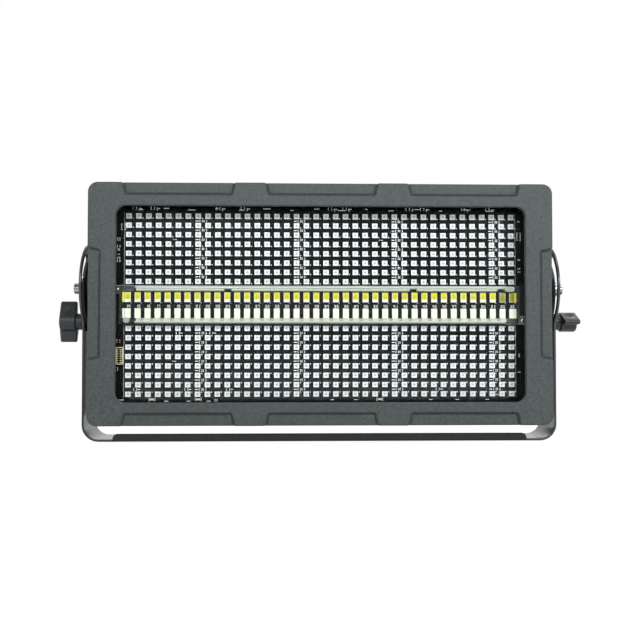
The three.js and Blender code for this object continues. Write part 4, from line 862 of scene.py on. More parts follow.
low, high, _, size = span("strobe_led_board")
base = box_plate(size, 1, 3, (0, STROBE_BOARD), high, 0.15, 1)
piece("strobe_board", base, "board_black", "strobe_led_board")
# Upper and lower rows carry the same phosphor; the lower row's near-cream finish is painted light.
for row, sign, shaded in (("upper", 1, "phosphor_shaded"), ("lower", -1, "phosphor_lower")):
    form = gather(*[moved(tall, x, 0, sign * STROBE_Z - STROBE_LOWER) for x in COLUMN_X])
    # The last two packages of each row take the third finish. In the upper row that is a darker olive copy of
    # the phosphor, painted shade as though seen through tinted clear plastic; in the lower row it is the same
    # finish as the rest of the row.
    form[3][(form[3] == 1) & (np.arange(len(form[3])) >= len(tall[2]) * (COLUMNS - 2))] = 2
    piece("strobe_leds_" + row, form, "package_white phosphor_" + row + " " + shaded)
marks = [s for k, x in enumerate(COLUMN_X) for s in numeral(k + 14, x + 0.4, -1.3)]
marks += [(x + 2.9, 1.6, 0.7, 0.5) for x in COLUMN_X]
piece("strobe_print", flat_boxes(marks, STROBE_BOARD, 0.05), "print_white")

# %% Rails
# The lower rail is darker in bands at the LED pitch: a painted reflection of the row of LEDs in its glossy
# face. The haze over it is random tone.
painted_reflection = Paint("rail_painted_reflection")
x_along, _, _ = painted_reflection.axes(painted_reflection.place())
led_reflection_bands = ((x_along * 1000 + PITCH_X * 20) / PITCH_X).apply("FRACT")
led_reflection_bands = (led_reflection_bands - 0.5).apply("ABSOLUTE").between(0.22, 0.4)
haze = painted_reflection.noise(painted_reflection.place(), 300, 3)
colour = painted_reflection.mix(led_reflection_bands * 0.6, shade(206, 212, 196), shade(122, 126, 98))
colour = painted_reflection.mix(haze.between(0.3, 0.75, 0.0, 0.3), colour, shade(150, 156, 142))
painted_reflection.surface(Base_Color=colour, Roughness=haze * 0.2 + 0.2)


def swept(section, stations):
    """A section in y and z drawn along x, and drawn in towards its outer edge by a share at each station."""
    middle = np.array([section[:, 0].mean(), section[np.abs(section[:, 1]).argmax(), 1]])
    return skin([np.insert(middle + (section - middle) * share, 0, x, 1) for x, share in stations])


def rounded(corners, r=0.35, steps=3):
    """A closed outline whose corners are replaced by short arcs (quadratic curves through the corner)."""
    corners = np.asarray(corners, float)
    t, out = np.linspace(0, 1, steps + 1)[:, None], []
    for c, b, a in zip(corners, corners - np.roll(corners, 1, 0), np.roll(corners, -1, 0) - corners):
        b_len, a_len = np.linalg.norm(b), np.linalg.norm(a)
        p, q = c - b / b_len * min(r, b_len / 2), c + a / a_len * min(r, a_len / 2)
        out.append((1 - t) ** 2 * p + 2 * t * (1 - t) * c + t ** 2 * q)
    return np.concatenate(out)


RAIL = rounded([(20.6, 11.6), (20.6, 15.25), (14.0, 15.25), (14.0, 12.3)], 0.3)
low, high, _, _ = span("upper_light_rail")
first, last = low[0] + 1.6, high[0]
opening, closing = [(first, 0.9), (first + 0.25, 1)], [(last - 0.25, 1), (last, 0.9)]
notch = ((-3.2, 1), (-3.0, 0.4), (3.0, 0.4), (3.2, 1))
notches = [(n + dx, share) for n in (-82.5, 81.5) for dx, share in notch]
notches += [(last - dx, share) for dx, share in ((7.8, 1), (7.6, 0.4), (1.0, 0.4), (0.8, 1))]
piece("rail_upper", swept(RAIL, opening + notches + closing), "rail_white", "upper_light_rail")
piece("rail_lower", swept(RAIL * [1, -1], opening + [(0, 1)] + closing), "rail_painted_reflection", "lower_light_rail")

# %% [markdown]
# The cover is a channel of clear plastic, open at the back, and an end plate with one ear closes each
# end. A real channel is extruded, so a section drawn along x is exactly how it is made. The end plates
# are cut from sheet: an outline with the ear as a separate tab behind it.

# %% Clear cover
low, high, _, _ = span("strobe_cover")
wall, half, COVER_ENDS = 1.2, high[2] - 0.6, (-175.6, 174.2)
curl = polar(1, np.linspace(0, np.pi / 2, 6))[:, ::-1] * [-1, 1]
outer = np.concatenate([[(high[1], half)], [low[1] + 2, half - 2] + 2 * curl])
inner = np.concatenate([[(high[1], half - wall)], [low[1] + wall + 0.8, half - wall - 0.8] + 0.8 * curl])
section = np.concatenate([outer, outer[::-1] * [1, -1], inner * [1, -1], inner[::-1]])
rows = [np.insert(section, 0, x, 1) for x in (COVER_ENDS[0], -163.5, 163.5, COVER_ENDS[1])]
points, loops, sizes, _ = skin(rows, ends=False)
index = np.arange(len(section))[::1 if area(section) > 0 else -1]
tris = index[fill([section[index]])[1]]
face_middle = points[loops].reshape(-1, 4, 3).mean(1)
# The top and bottom walls along the middle take the pale milky finish, a painted highlight of the walls seen
# edge on where they carry light.
haze_and_highlight = (np.abs(face_middle[:, 2]) > half - wall - 0.9) & (np.abs(face_middle[:, 0]) < 100)
loops = np.concatenate([loops, tris[:, ::-1].ravel(), (tris + 3 * len(section)).ravel()])
caps = np.full(2 * len(tris), 3)
body = (points, loops, np.append(sizes, caps), np.append(haze_and_highlight, 0 * caps).astype(int))
piece("clear_cover", body, "cover_clear cover_rib", "strobe_cover", sharp=40)

# %% End plates with ears
for word, side, post_w, post_h, post_x in (("left", -1, 5.6, 5.0, 171.4), ("right", 1, 9.6, 4.8, 167.4)):
    x_in = COVER_ENDS[side > 0]
    x_out = x_in + side * 1.3
    face = round_rect(20.7 - 11.7, 33.2, 2, 5) + [(20.7 + 11.7) / 2, 0]
    cap = plate(face, [], min(x_in, x_out), max(x_in, x_out), 0.2)
    cap = turned_form(cap, [[0, 1, 0], [1, 0, 0], [0, 0, 1]])
    reach = 182.6 - abs(x_out)
    ear = np.array([(-0.6, 17.1), (reach, 17.1), (reach, 9.9), (-0.6, 9.9)]) * [side, -side] + [x_out, 0]
    tab = plate(rounded(ear, 1.2, 4), [circle(1.15, 20, side * 180.5, -side * 13.95)], 18.9, 20.66, 0.15)
    slab = plate(round_rect(11.8, 5.0, 0.8, 3) + [side * 171.3, -side * 14.3], [], 18.9, 20.6, 0.15)
    # Two thin strips along the ear's top and bottom edges are painted highlights of those edges. The post is
    # a real boss of the end plug; its pale milky finish is a painted highlight.
    painted_edge_lines = blocks([(side * 174.0, -side * 16.9, 17.0, 0.45, 18.6, 19.0),
                   (side * 180.2, -side * 10.1, 4.2, 0.45, 18.6, 19.0)], 1)
    post = plate(round_rect(post_w, post_h, 2.3, 6) + [side * post_x, side * 14.0], [], 13.4, 19.0, 0.7)
    piece("cover_end_plate_" + word, joined(painted(cap, 2), tab, slab, painted_edge_lines, painted(post, 1)),
          "ear_clear cover_rib cover_clear", "cover_end_" + word)
    # Just inside each end wall a thin block in the phosphor colours is a painted reflection: the end packages
    # mirrored in the polished wall, drawn as a film. Nothing in it glows.
    glow_x = side * (174.5 if side < 0 else 173.5)
    glow = [blocks([(glow_x, s * STROBE_Z - STROBE_LOWER, 1.7, 8.6, 17.6, 18.3)], k)
            for k, s in enumerate((1, -1))]
    piece("end_glow_" + word, gather(*glow), "end_glow_upper end_glow_lower")

# %% [markdown]
# ## The yoke
# The yoke is one strip of 2 mm steel with a disc at each end, cut flat and then bent twice. We could
# union boxes and cylinders, but their joints would show. Instead the flat pattern is drawn as the cutter
# sees it, filled, and folded: each point keeps its place along the strip and goes where the bend takes it.

# %% Flat pattern of the yoke
ARM_X, FLOOR_Z, STEEL, BEND, FRONT_Y, BACK_Y = 212.009, -HEAD[2], 2.0, 15.0, 25.0, 75.0
BEND_START = ARM_X - BEND
BEND_END = BEND_START + BEND * np.pi / 2
PIVOT_S = BEND_END + PIVOT[2] - FLOOR_Z - BEND
DISC, SLOT_R, SLOT_HALF, SWEEP, SET_BACK, LIP_X = 40.0, 30.3, 5.4, math.radians(142), 1.1, 184.7


def ends_at(loop, side):
    return loop * [side, 1] + [side * PIVOT_S, PIVOT[1]]


def disc_edge(side):
    """The end of the strip: small fillets, then the disc, from the front edge to the back edge."""
    half, r = (BACK_Y - FRONT_Y) / 2, 8.0
    reach = math.sqrt((DISC + r) ** 2 - (half + r) ** 2)
    lean = math.atan2(half + r, reach)
    into = polar(-r, -np.pi / 2 - np.linspace(0, np.pi / 2 - lean, 6), -reach, -(half + r))
    disc = polar(DISC, np.linspace(-np.pi + lean, np.pi - lean, 90))
    return ends_at(np.concatenate([into[:-1], disc, (into * [1, -1])[::-1][1:]]), side)[::side]


def slot_loop(side):
    """A curved slot about the pivot, round at both ends, open towards the top of the disc."""
    arc = np.linspace(-SWEEP, SWEEP, 70) + np.pi
    cap = np.linspace(0, np.pi, 11)[1:-1]
    caps = [polar(SLOT_HALF, a + extra + cap, SLOT_R * math.cos(a), SLOT_R * math.sin(a))
            for a, extra in ((arc[-1], 0), (arc[0], np.pi))]
    outer, inner = polar(SLOT_R + SLOT_HALF, arc), polar(SLOT_R - SLOT_HALF, arc)[::-1]
    return ends_at(np.concatenate([outer, caps[0], inner, caps[1]]), side)


bend_rows = np.linspace(BEND_START, BEND_END, 14)
stop_s = np.append(bend_rows, BEND_END + 40)
lip_edge = [(s * (LIP_X - into), FRONT_Y + back) for s, into, back in
            ((-1, 1, 0), (-1, 1.6, SET_BACK), (1, 1.6, SET_BACK), (1, 1, 0))]
pattern = np.concatenate([pairs(-stop_s[::-1], FRONT_Y), lip_edge, pairs(stop_s, FRONT_Y), disc_edge(1),
                          pairs(stop_s[::-1], BACK_Y), pairs(-stop_s, BACK_Y), disc_edge(-1)])
holes = [slot_loop(1), slot_loop(-1), circle(6.5, 32, 0, PIVOT[1])]
holes += [circle(6.3, 32, s * PIVOT_S, PIVOT[1]) for s in (-1, 1)]
inside = [[s * b, y] for s in (-1, 1) for b in bend_rows for y in np.linspace(FRONT_Y + 4, BACK_Y - 4, 12)]
sheet = plate(pattern, holes, 0, STEEL, 0.45, 3, [inside])
# The quads are the cut edges of the sheet; they take the second, lighter finish, a painted highlight.
sheet[3][sheet[2] == 4] = 1
print("flat pattern:", round(2 * (PIVOT_S + DISC)), "mm long")


# %% Folding
def fold(form):
    """s runs along the strip and n into it: base (s, n), bend (sin, cos of (s - start) / 15), arm upwards."""
    s, n, y = form[0].T
    side, a = np.sign(s), np.abs(s)
    t = np.clip((a - BEND_START) / BEND, 0, np.pi / 2)
    x = np.minimum(a, BEND_START) + (BEND - n) * np.sin(t)
    z = FLOOR_Z + BEND - (BEND - n) * np.cos(t) + np.maximum(a - BEND_END, 0)
    return (np.stack([side * x, y, z], 1), *form[1:])


LIP_R, LIP_TOP = 4.5, FLOOR_Z + 7.0
corner = polar(LIP_R, np.linspace(0, np.pi / 2, 8), LIP_X - LIP_R, LIP_TOP - LIP_R)
lip = np.concatenate([[(-LIP_X, FLOOR_Z + 0.04), (LIP_X, FLOOR_Z + 0.04)], corner, (corner * [-1, 1])[::-1]])
lip_form = plate(lip, [], FRONT_Y, FRONT_Y + STEEL, 0.45, 3)
piece("yoke_strip", joined(fold(sheet), lip_form), "yoke_black yoke_edge", "yoke_bracket", "yoke")

# %% [markdown]
# ## The pivots
# From the head outwards each pivot has a boss cast with the housing, a fibre friction pad, a shouldered
# bush that turns in the yoke's hole, a stack of spring washers and a socket-head bolt. They all turn on
# one axis, so each is a turned profile laid along x. The boss also has a lug for the clamping stud.

# %% Outlines about a pivot
def sideways(form, side, y, z):
    """From a form about the Y axis to one about the X axis on the left (-1) or the right (1)."""
    return moved(turned_form(form, [[0, side, 0], [1, 0, 0], [0, 0, 1]]), y=y, z=z)


def pad_outline(radius, lower_by, bottom, top):
    """A disc whose middle is lowered, kept inside 39.3 of the pivot, between two heights: the distance
    along a ray u is c.u + sqrt((c.u)^2 - c.c + radius^2) for the middle c."""
    t = np.linspace(0, 2 * np.pi, 160, endpoint=False) + (-1 if bottom > -50 else 1) * np.pi / 2
    along = -lower_by * np.sin(t)
    loop = polar(np.minimum(39.3, along + np.sqrt(along ** 2 - lower_by ** 2 + radius ** 2)), t)
    return loop[(loop[:, 1] > bottom) & (loop[:, 1] < top)]


def teardrop(r_big, r_small, drop, steps=48):
    """Two circles and their common tangents: the big one at the middle, the small one straight below."""
    a = math.acos((r_big - r_small) / drop)
    foot = np.linspace(-np.pi / 2 - a, -np.pi / 2 + a, steps // 2)[1:-1]
    return np.concatenate([polar(r_big, np.linspace(-np.pi / 2 + a, 3 * np.pi / 2 - a, steps)),
                           polar(r_small, foot) - [0, drop]])


def hexagon(r, steps=36):
    angle = np.arange(steps) * 2 * np.pi / steps
    return polar(r / np.cos((angle + np.pi / 6) % (np.pi / 3) - np.pi / 6), angle)


print("a hexagon 5 mm across its flats is", round(2 * hexagon(2.5)[:, 1].max(), 2), "mm across its corners")

# %% Pivot pieces
# Profiles are pairs of x and radius, with x measured outwards from the middle of the head.
LOCK_Y, LOCK_Z = PIVOT[1], PIVOT[2] - SLOT_R
stud_hole, SIDES = circle(5.3, 24, 0, -SLOT_R), (("left", -1), ("right", 1))
for (word, side), radius, lower_by in zip(SIDES, (39.0, 32.4), (8.0, 5.6)):
    at = (side, PIVOT[1], PIVOT[2])
    boss = plate(teardrop(29.3, 7.9, SLOT_R), [circle(4.0, 24), stud_hole], 199.0, 207.4, 0.8, 3)
    # The upper part of each pad takes the lighter grey: painted light on the pad's rim where the lamp falls
    # from above. The lower part keeps the black of the fibre.
    upper_pad = plate(pad_outline(radius, lower_by, 7.6, 60), [], 207.7, 209.7, 0.25)
    bores = [circle(6.4, 32), stud_hole]
    lower_pad = plate(pad_outline(radius, lower_by, -60, 7.4), bores, 207.7, 209.7, 0.25)
    low, high, _, _ = span("pivot_bush_" + word)
    inner = min(abs(low[0]), abs(high[0]))
    bush = lathe([(inner, 4.2), (inner, 5.7), (inner + 0.3, 6.0), (212.3, 6.0), (212.3, 10.5), (212.6, 11.0),
                  (214.9, 11.0), (215.3, 10.6), (215.3, 4.2)], 64)
    springs = []
    for x, flare in ((215.75, 0), (217.05, 0.35), (218.35, 0)):
        edges = [(x + flare, 6.8), (x + 0.15 + flare, 7.0), (x + 0.6 + flare, 7.0), (x + 0.75 + flare, 6.8)]
        springs.append(lathe([(x, 4.2), *edges, (x + 0.75, 4.2)]))
    head = [(212.0, 4.0), (219.8, 4.0), (219.8, 4.7), (220.1, 5.0), (224.2, 5.0), (224.7, 4.5), (224.7, 3.6)]
    socket = [(2.95, 224.65), (2.8, 224.4), (2.8, 221.9), (0.3, 221.5)]
    head_rows = lathe(head, 36)[0].reshape(-1, 36, 3)
    bolt = skin([*head_rows, *[np.insert(hexagon(r), 1, x, 1) for r, x in socket]])
    shank = lathe([(203.0, 3.7), (203.4, 4.0), (212.2, 4.0)], 36)
    for name, form, finishes, node in (
            ("boss_", boss, "housing_grey", "side_boss_"),
            ("pad_", gather(upper_pad, painted(lower_pad, 1)), "pad_edge pad_fibre", "friction_pad_"),
            ("bush_", bush, "turned_steel", "pivot_bush_"),
            ("springs_", gather(*springs), "zinc", "pivot_spring_"),
            ("bolt_", gather(shank, bolt), "turned_steel", "pivot_bolt_")):
        piece(name + word, sideways(form, *at), finishes, node + word)

# %% [markdown]
# ## The locking knobs
# Each knob has two wings that taper from a round hub to narrow tips, a shallow thumb dimple on each
# sloping face and a domed end. It is moulded, so every edge is soft. Its outline is walked by arc
# length, which makes the dimples easy: each is a smooth bowl in place along the wing and depth.

# %% A two-wing knob
KNOB_START, KNOB_END, TIP = 222.1, 236.9, 2.4


def wing_outline(half_span=18.6, hub=9.0):
    """Each wing leaves the hub along a tangent on one side and stands straight on the other, like a
    pinwheel; the second wing is the first turned by half a turn. Points at even steps of arc length."""
    reach = half_span - TIP
    a, b = math.acos((hub - TIP) / reach), math.asin(TIP / hub)
    tip_arc, hub_arc = np.linspace(-np.pi / 2, a, 60), np.linspace(a, np.pi - b, 60)
    half = np.concatenate([polar(TIP, tip_arc, reach), polar(hub, hub_arc)])
    closed = np.concatenate([half, -half, half[:1]])
    length = np.concatenate([[0], np.cumsum(np.linalg.norm(np.diff(closed, axis=0), axis=1))])
    even = np.linspace(0, length[-1], 200, endpoint=False)
    return np.stack([np.interp(even, length, closed[:, k]) for k in (0, 1)], 1)


def knob_form(hand):
    """Rows along the axis, each the outline set in by an amount that rounds both ends. hand is 1 or -1,
    for the outline or its mirror image. A dimple is 1.1 or 0.3 mm x (1 - rho^2)^2 deep, with rho an
    ellipse in distance along the wing and place along the axis."""
    outline = wing_outline()
    sloping = (outline[:, 0] * outline[:, 1] > 0) & (np.abs(outline[:, 1]) > 2.5)
    stations = [(KNOB_START, 0.9), (KNOB_START + 0.3, 0.35), (KNOB_START + 0.9, 0)]
    stations += [(x, 0) for x in np.linspace(KNOB_START + 1.4, KNOB_END - 1.6, 22)]
    stations += [(KNOB_END - 1.5 * (1 - math.sin(t)), 1.5 * (1 - math.cos(t)))
                 for t in np.linspace(0.15, np.pi / 2, 7)]
    rows = []
    for x, by in stations:
        rho2 = ((np.abs(outline[:, 0]) - 9.6) / 5.6) ** 2 + ((x - 229.6) / 5.6) ** 2
        bowl = (0.3 if hand > 0 else 1.1) * np.clip(1 - rho2, 0, 1) ** 2 * sloping
        loop = inset(outline, by)
        loop[:, 1] -= bowl * np.sign(outline[:, 1])
        rows.append(np.insert(loop * [1, hand], 1, x, 1))
    rows += [rows[-1] * [s, 1, s] + [0, 1.2 * (1 - s ** 2), 0] for s in (0.8, 0.55, 0.3, 0.08)]
    neck = lathe([(214.1, 6.4), (214.1, 7.2), (214.4, 7.5), (216.2, 7.5), (216.4, 7.2), (216.9, 7.2),
                  (217.1, 7.5), (222.4, 7.5), (222.4, 5.0)], 64)
    return joined(skin(rows), neck)


washer = lathe([(212.35, 5.2), (212.35, 7.3), (212.5, 7.5), (213.6, 7.5), (213.75, 7.3), (213.75, 5.2)])
thread = [(x, 4.9 if k % 2 else 4.35) for k, x in enumerate(np.arange(202.6, 214.0, 0.5))]
stud = lathe([(201.8, 3.9), (202.4, 4.5), *thread, (214.3, 4.8), (230.9, 4.8), (231.5, 4.2)], 40)
for word, side in SIDES:
    knob = knob_form(-side)
    if side < 0:
        knob = turned_form(knob, [[0, 0, 1], [0, 1, 0], [-1, 0, 0]])
    for name, form, finish, node, body in (
            ("knob_" + word, knob, "knob_black", "lock_knob_", "knob_"),
            ("lock_washer_" + word + "_turned", washer, "zinc", "lock_washer_", "washer_"),
            ("stud_" + word, stud, "zinc", "lock_stud_", "knob_")):
        piece(name, sideways(form, side, LOCK_Y, LOCK_Z), finish, node + word, body + word)

# %% [markdown]
# ## The rear housing
# The housing is a box folded from sheet: its side wall is a long strip with rows of cooling slots in the
# top and the bottom, its back edge leans in by a chamfer, and a flat back closes it. As with the yoke,
# the strip is drawn flat, cut, and then wrapped, here round a rectangle with rounded corners.

# %% Side wall of the housing
SHEET, HOUSE_W, HOUSE_H, HOUSE_R, HOUSE_FRONT, HOUSE_BACK, CHAMFER = 2.0, 400.0, 206.2, 8.0, 14.3, 102.5, 3.0
straight_x, straight_z, quarter = HOUSE_W - 2 * HOUSE_R, HOUSE_H - 2 * HOUSE_R, HOUSE_R * np.pi / 2
AROUND, LEAN_FROM = 2 * (straight_x + straight_z) + 4 * quarter, HOUSE_BACK - CHAMFER
starts = np.cumsum([0, straight_x / 2, *[quarter, straight_z, quarter, straight_x] * 2][:9])


def wrap(form):
    """s runs round the outside from the middle of the bottom: straight legs and corners take turns. On a
    corner the angle grows by (s - start) / 8. n and the chamfer both move a point inwards."""
    s, n, y = form[0].T
    over = np.maximum(y - LEAN_FROM, 0) / math.sqrt(2)
    s = s % AROUND
    leg = np.searchsorted(starts, s, "right") - 1
    bent, along = leg % 2 == 1, s - starts[leg]
    angle = (leg // 2 - 1) * np.pi / 2 + np.where(bent, along / HOUSE_R, 0)
    homes = np.array([(0, -1)] + [c for c in ((1, -1), (1, 1), (-1, 1), (-1, -1)) for _ in (0, 1)])
    spot = homes[leg] * [straight_x / 2, straight_z / 2] + polar(HOUSE_R - n - over, angle)
    spot += polar(np.where(bent, 0, along), angle + np.pi / 2)
    return (np.stack([spot[:, 0], np.minimum(y, LEAN_FROM) + over, spot[:, 1]], 1), *form[1:])


bends = np.concatenate([starts[k] + np.linspace(0, quarter, 7) for k in (1, 3, 5, 7)])
ends_s = np.concatenate([[0.01], bends, [AROUND - 0.01]])
END_Y = LEAN_FROM + CHAMFER * math.sqrt(2)
wall_pattern = np.concatenate([pairs(ends_s, HOUSE_FRONT), [(AROUND - 0.01, LEAN_FROM)],
                               pairs(ends_s[::-1], END_Y), [(0.01, LEAN_FROM)]])
vents = [round_rect(4, 40, 1.9, 4) + [(s + x) % AROUND, 58.0]
         for s in (0, starts[4] + straight_x / 2) for x in (np.arange(10) - 4.5) * 24.0]
folds = [[b, y] for b in bends for y in np.linspace(HOUSE_FRONT + 6, LEAN_FROM, 16)]
wide = [[b, LEAN_FROM] for b in np.linspace(6, AROUND - 6, 150)]
wall = wrap(plate(wall_pattern, vents, 0, SHEET, 0.4, 2, [folds, wide]))
print("side wall:", round(AROUND), "mm round, with", len(vents), "slots")

# %% Back of the housing and the panel
FAN_X, SOCKET_X, SOCKET_Z, BUTTON_X, BUTTON_Z = 150.0, (-66, -22, 22, 66), -38.0, (-33, -11, 11, 33), 20.0
back_holes = [circle(37.6, 64, s * FAN_X) for s in (-1, 1)] + [round_rect(186, 136, 6, 4)]
back = plate(round_rect(HOUSE_W - 2 * CHAMFER - 0.6, HOUSE_H - 2 * CHAMFER - 0.6, 5.2), back_holes,
             HOUSE_BACK - SHEET, HOUSE_BACK, 0.35)
piece("housing", joined(wall, back), "housing_grey", "rear_housing")

low, high, _, _ = span("control_panel")
PANEL_FACE = high[1]
panel_holes = [round_rect(64, 20, 1.5, 4) + [0, 48.0]] + [circle(4.1, 32, x, BUTTON_Z) for x in BUTTON_X]
panel_holes += [circle(11.0, 40, x, SOCKET_Z) for x in SOCKET_X]
sheet = plate(round_rect(200, 150, 4), panel_holes, low[1], PANEL_FACE, 0.35)
piece("panel", sheet, "panel_black", "control_panel")
lines = [(0, 48.0 + t * 13.0, 72, 0.5) for t in (-1, 1)] + [(s * 36.0, 48.0, 0.5, 26.5) for s in (-1, 1)]
lines += [(0, z, 186, 0.4) for z in (4.0, -62.0)]
lines += [(x + dx, 10.4, 0.5, 2.2) for x in BUTTON_X for dx in (-2.6, 2.6)]
lines += [(s * 11, 11.3 + s * (0.45 * k - 0.9), 0.5 + 0.9 * k, 0.46) for s in (-1, 1) for k in range(5)]
lines += [(-33, z, 2.6, 0.5) for z in (11.3, 10.2, 9.1)] + [(33, 9.6, 2.6, 0.5), (34.2, 10.7, 0.5, 2.6)]
lines += [(x + s * 8.0, -17.5, 6.0, 0.5) for x in SOCKET_X for s in (-1, 1)]
piece("panel_print", flat_boxes(lines, PANEL_FACE, 0.05, 0.05), "print_white")

# %% [markdown]
# The connectors, keys and screws on the panel are turned pieces on square flanges. Each recess is real:
# the profile runs over the rim, down the bore and across its floor, with contact pins standing in it.

# %% Display, keys, sockets and screws
low, high, middle, size = span("display_window")
lens = box_plate(size, 1.4, 4, low, high, 0.4, 3)
piece("display_lens", moved(lens, z=middle[2]), "display_smoke", "display_window")

for name in ("menu", "up", "down", "enter"):
    (_, base, _), (_, top, _), middle, size = span(name + "_button")
    fit = min(1, size[0] / 2 / 4.6)
    key = lathe([(base, 4.6), (base + 1.0, 4.6), (base + 1.0, 3.7), (top - 0.9, 3.7), (top - 0.35, 3.45),
                 (top - 0.06, 2.9), (top, 2.2), (top - 0.12, 1.0)], 40)
    key = (key[0] * [fit, 1, fit] + middle * [1, 0, 1], *key[1:])
    piece(name + "_key_cap", key, "button_rubber", name + "_button", name + "_key")

deep_bore = [(0, 10.9), (0.02, 10.3), (0.5, 9.8), (1.0, 9.5), (12.6, 9.4), (13.0, 9.0), (13.0, 4.2),
             (10.5, 3.9), (10.2, 3.5), (10.2, 0.4)]
# The hole's radius, the bore as pairs of depth and radius, how deep the pins stand, and the heights of
# a pin's shoulder and tip above its foot.
flat_face = [(0, 10.9), (0.3, 9.6), (0.3, 8.8), (0, 8.5), (0.2, 4.0)]
bored, flat = (9.5, deep_bore, 12.9, 7.5, 8.0), (8.4, flat_face, 0.25, 0.2, 0.22)
for name, (hole, bore, foot, tall_pin, tip) in (("power_inlet", bored), ("power_outlet", bored),
                                                ("signal_inlet", bored), ("signal_outlet", flat)):
    low, (_, face, _), middle, _ = span(name)
    corners = [circle(1.5, 16, s * 10, s * 12.4) for s in (-1, 1)]
    flange = plate(round_rect(26, 31, 3, 5), [circle(hole + 0.9, 48), *corners], 105.1, face, 0.35)
    barrel = lathe([(low[1], 8.0), (low[1], 10.8)] + [(face - down, r) for down, r in bore])
    pin = lathe([(face - foot - 0.5, 1.2), (face - foot + tall_pin, 1.2), (face - foot + tip, 0.8)], 16)
    turns = [2 * np.pi * k / 3 + np.pi / 2 for k in range(3)]
    pins = [moved(pin, x=6.5 * math.cos(turn), z=6.5 * math.sin(turn)) for turn in turns]
    screw = lathe([(face - 0.6, 1.4), (face - 0.12, 1.4), (face, 1.1)], 16)
    screws = [moved(screw, x=s * 10, z=s * 12.4) for s in (-1, 1)]
    form = joined(flange, barrel, *[painted(f, 1) for f in pins + screws])
    piece(name + "_socket", moved(form, x=middle[0], z=SOCKET_Z), "moulded_black zinc", name)


def pan_screw(r, front, back):
    """A low domed head with a cross recess: the innermost rings dip where they lie under the cross."""
    step = back - front
    radii = np.array([1, 1, 0.94, 0.8, 0.62, 0.52, 0.42, 0.3, 0.16, 0.04]) * r
    depth = np.array([0, 0.35, 0.75, 0.93, 0.98, 0.99, 1, 1, 1, 1]) * step
    angle = np.arange(48) * 2 * np.pi / 48
    rows = np.stack([np.insert(polar(ring_r, angle), 1, front + d, 1) for ring_r, d in zip(radii, depth)])
    in_cross = (np.abs(rows[:, :, ::2]).min(2) < 0.15 * r) & (radii < 0.58 * r)[:, None]
    rows[:, :, 1] -= in_cross * 0.42 * step
    return skin(rows)


for k in range(1, 5):
    low, high, middle, size = span(f"panel_screw_{k}")
    head = pan_screw(size[0] / 2, PANEL_FACE, high[1])
    piece(f"panel_screw_head_{k}", moved(head, x=middle[0], z=middle[2]), "bright_screw", f"panel_screw_{k}")
for word, _ in SIDES:
    middle = span("ear_screw_" + word)[2]
    head = pan_screw(1.9, 0, 0.9)
    head = (head[0] * [1, -1, 1] + [middle[0], 18.6, middle[2]], *head[1:])
    piece("ear_screw_head_" + word, head, "bright_screw", "ear_screw_" + word)

# %% [markdown]
# ## Fans and their guards
# A fan has a square frame, a rotor with curved blades on its own spinning body, and a wire guard. The
# blades are thin skins that twist from root to tip, thickened by their own second side. Straight boards
# would do for the physics, but the twist is what the eye reads as a fan.

# %% Fan rotors, frames and guards
def fan_blade(k, count=7, hub=16.4, tip=35.0, front=77.6, back=96.0, thick=1.1):
    """Radius r goes from hub to tip; the pitch angle falls from 52 to 32 degrees; both faces follow a bow."""
    r = np.linspace(hub, tip, 10)[:, None]
    share = (r - hub) / (tip - hub)
    u = np.concatenate([np.linspace(-1, 1, 11), np.linspace(1, -1, 11)])
    side = np.repeat([1, -1], 11) * thick / 2 * (1 - 0.55 * u ** 2) + 1.6 * (1 - u ** 2)
    pitch = np.radians(52 - 20 * share)
    along = (back - front) / 2 / np.sin(np.radians(52)) * 0.95 * u * (1 - 0.10 * share)
    y = (front + back) / 2 + along * np.sin(pitch) * 0.98 + side * np.cos(pitch)
    turn = 2 * np.pi * k / count + (along * np.cos(pitch) - side * np.sin(pitch) - 3.0 * share) / r
    return skin(np.stack([r * np.cos(turn), y, r * np.sin(turn)], 2))


def wire_ring(r, y, thick=0.9):
    turn = np.linspace(0, 2 * np.pi, 72, endpoint=False)[:, None]
    section = circle(1, 10)
    reach, depth = r + thick * section[:, 0], y + 0.72 * section[:, 1] + 0 * turn
    return skin(np.stack([reach * np.cos(turn), depth, reach * np.sin(turn)], 2), ring=True)


def tube(path, r, around=14):
    """Circles of radius r across a path: each stands square to the mean direction of the path there."""
    along = np.gradient(np.asarray(path, float), axis=0)
    along /= np.linalg.norm(along, axis=1)[:, None]
    across = np.cross(along, [0.0, 0.0, 1.0])
    across /= np.linalg.norm(across, axis=1)[:, None]
    section = circle(r, around)
    frames = np.stack([across, np.cross(along, across)], 1)
    return skin(path[:, None] + section @ frames)


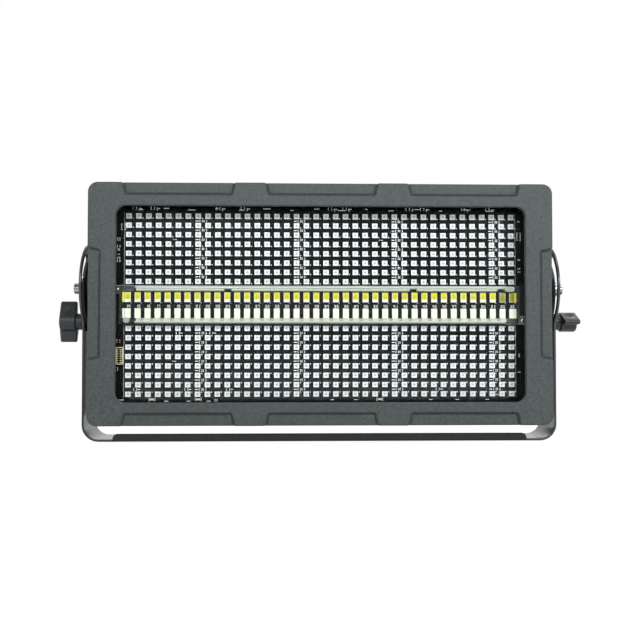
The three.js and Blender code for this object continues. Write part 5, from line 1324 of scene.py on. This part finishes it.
for word, side in SIDES:
    hub = lathe([(77.0, 6.0), (77.0, 15.6), (77.5, 16.6), (78.4, 17.0), (96.0, 17.0), (96.7, 16.6),
                 (96.9, 15.8), (96.9, 10.5), (96.5, 10.2), (96.5, 0.5)], 64)
    rotor = joined(hub, *[fan_blade(k) for k in range(7)])
    piece("rotor_" + word, moved(rotor, x=side * FAN_X), "moulded_black", "fan_rotor_" + word, "fan_" + word)
    (_, near, _), (_, far, _), (_, y, _), _ = span("fan_guard_" + word)
    rings = [wire_ring(r, y) for r in (17.5, 25.0, 32.5, 39.1)]
    spokes = [polar(np.linspace(9.5, 39.1, 8), np.pi / 4 + k * np.pi / 2) for k in range(4)]
    bars = [tube(np.insert(spoke, 1, y, 1), 0.74) for spoke in spokes]
    disc = lathe([(near + 0.05, 9.0), (near + 0.05, 10.8), (far - 0.3, 10.9), (far, 10.3), (far, 1.0)])
    piece("guard_" + word, moved(joined(*rings, *bars, disc), x=side * FAN_X), "zinc", "fan_guard_" + word)

# %% Safety loop
(_, base, _), (_, top, _), middle, _ = span("safety_loop")
REACH_X, top, bend = 14.0, top - 2.5, 7.0
leg = pairs(-REACH_X, np.linspace(base, top - bend, 6))
corner = polar(bend, np.linspace(np.pi, np.pi / 2, 9), bend - REACH_X, top - bend)[1:]
half_path = np.concatenate([leg, corner, [(-3.0, top)]])
path = np.concatenate([half_path, (half_path * [-1, 1])[::-1]])
rod = tube(np.insert(path, 2, middle[2], 1), 2.5, 20)
foot = lathe([(base, 2.0), (base, 4.6), (base + 0.8, 4.6), (base + 1.4, 4.0), (base + 1.6, 2.4)], 32)
piece("loop", joined(rod, *[moved(foot, x=s * REACH_X, z=middle[2]) for s in (-1, 1)]), "zinc", "safety_loop")

# %% [markdown]
# ## What stays as the engineer drew it
# The parts inside the head are seen only through slots and fan bores. Their plain shapes are right as
# they are, so they keep the frame's own meshes and only take a finish.

# %% Finishes for the parts that stay
kept = {"strobe_carrier": "carrier_black", "heat_sink": "sink_aluminium", "power_supply": "case_steel",
        "driver_board": "board_green", "control_board": "board_green", "fan_frame_left": "moulded_black",
        "fan_frame_right": "moulded_black"}
for node, finish in kept.items():
    mesh = bpy.data.objects[node].data
    mesh.materials.clear()
    mesh.materials.append(bpy.data.materials[finish])
print("kept as drawn:", ", ".join(kept))

# %% Size of the dressed model
low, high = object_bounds()
print("visual box in mm:", [round(1000 * (b - a), 1) for a, b in zip(low, high)])
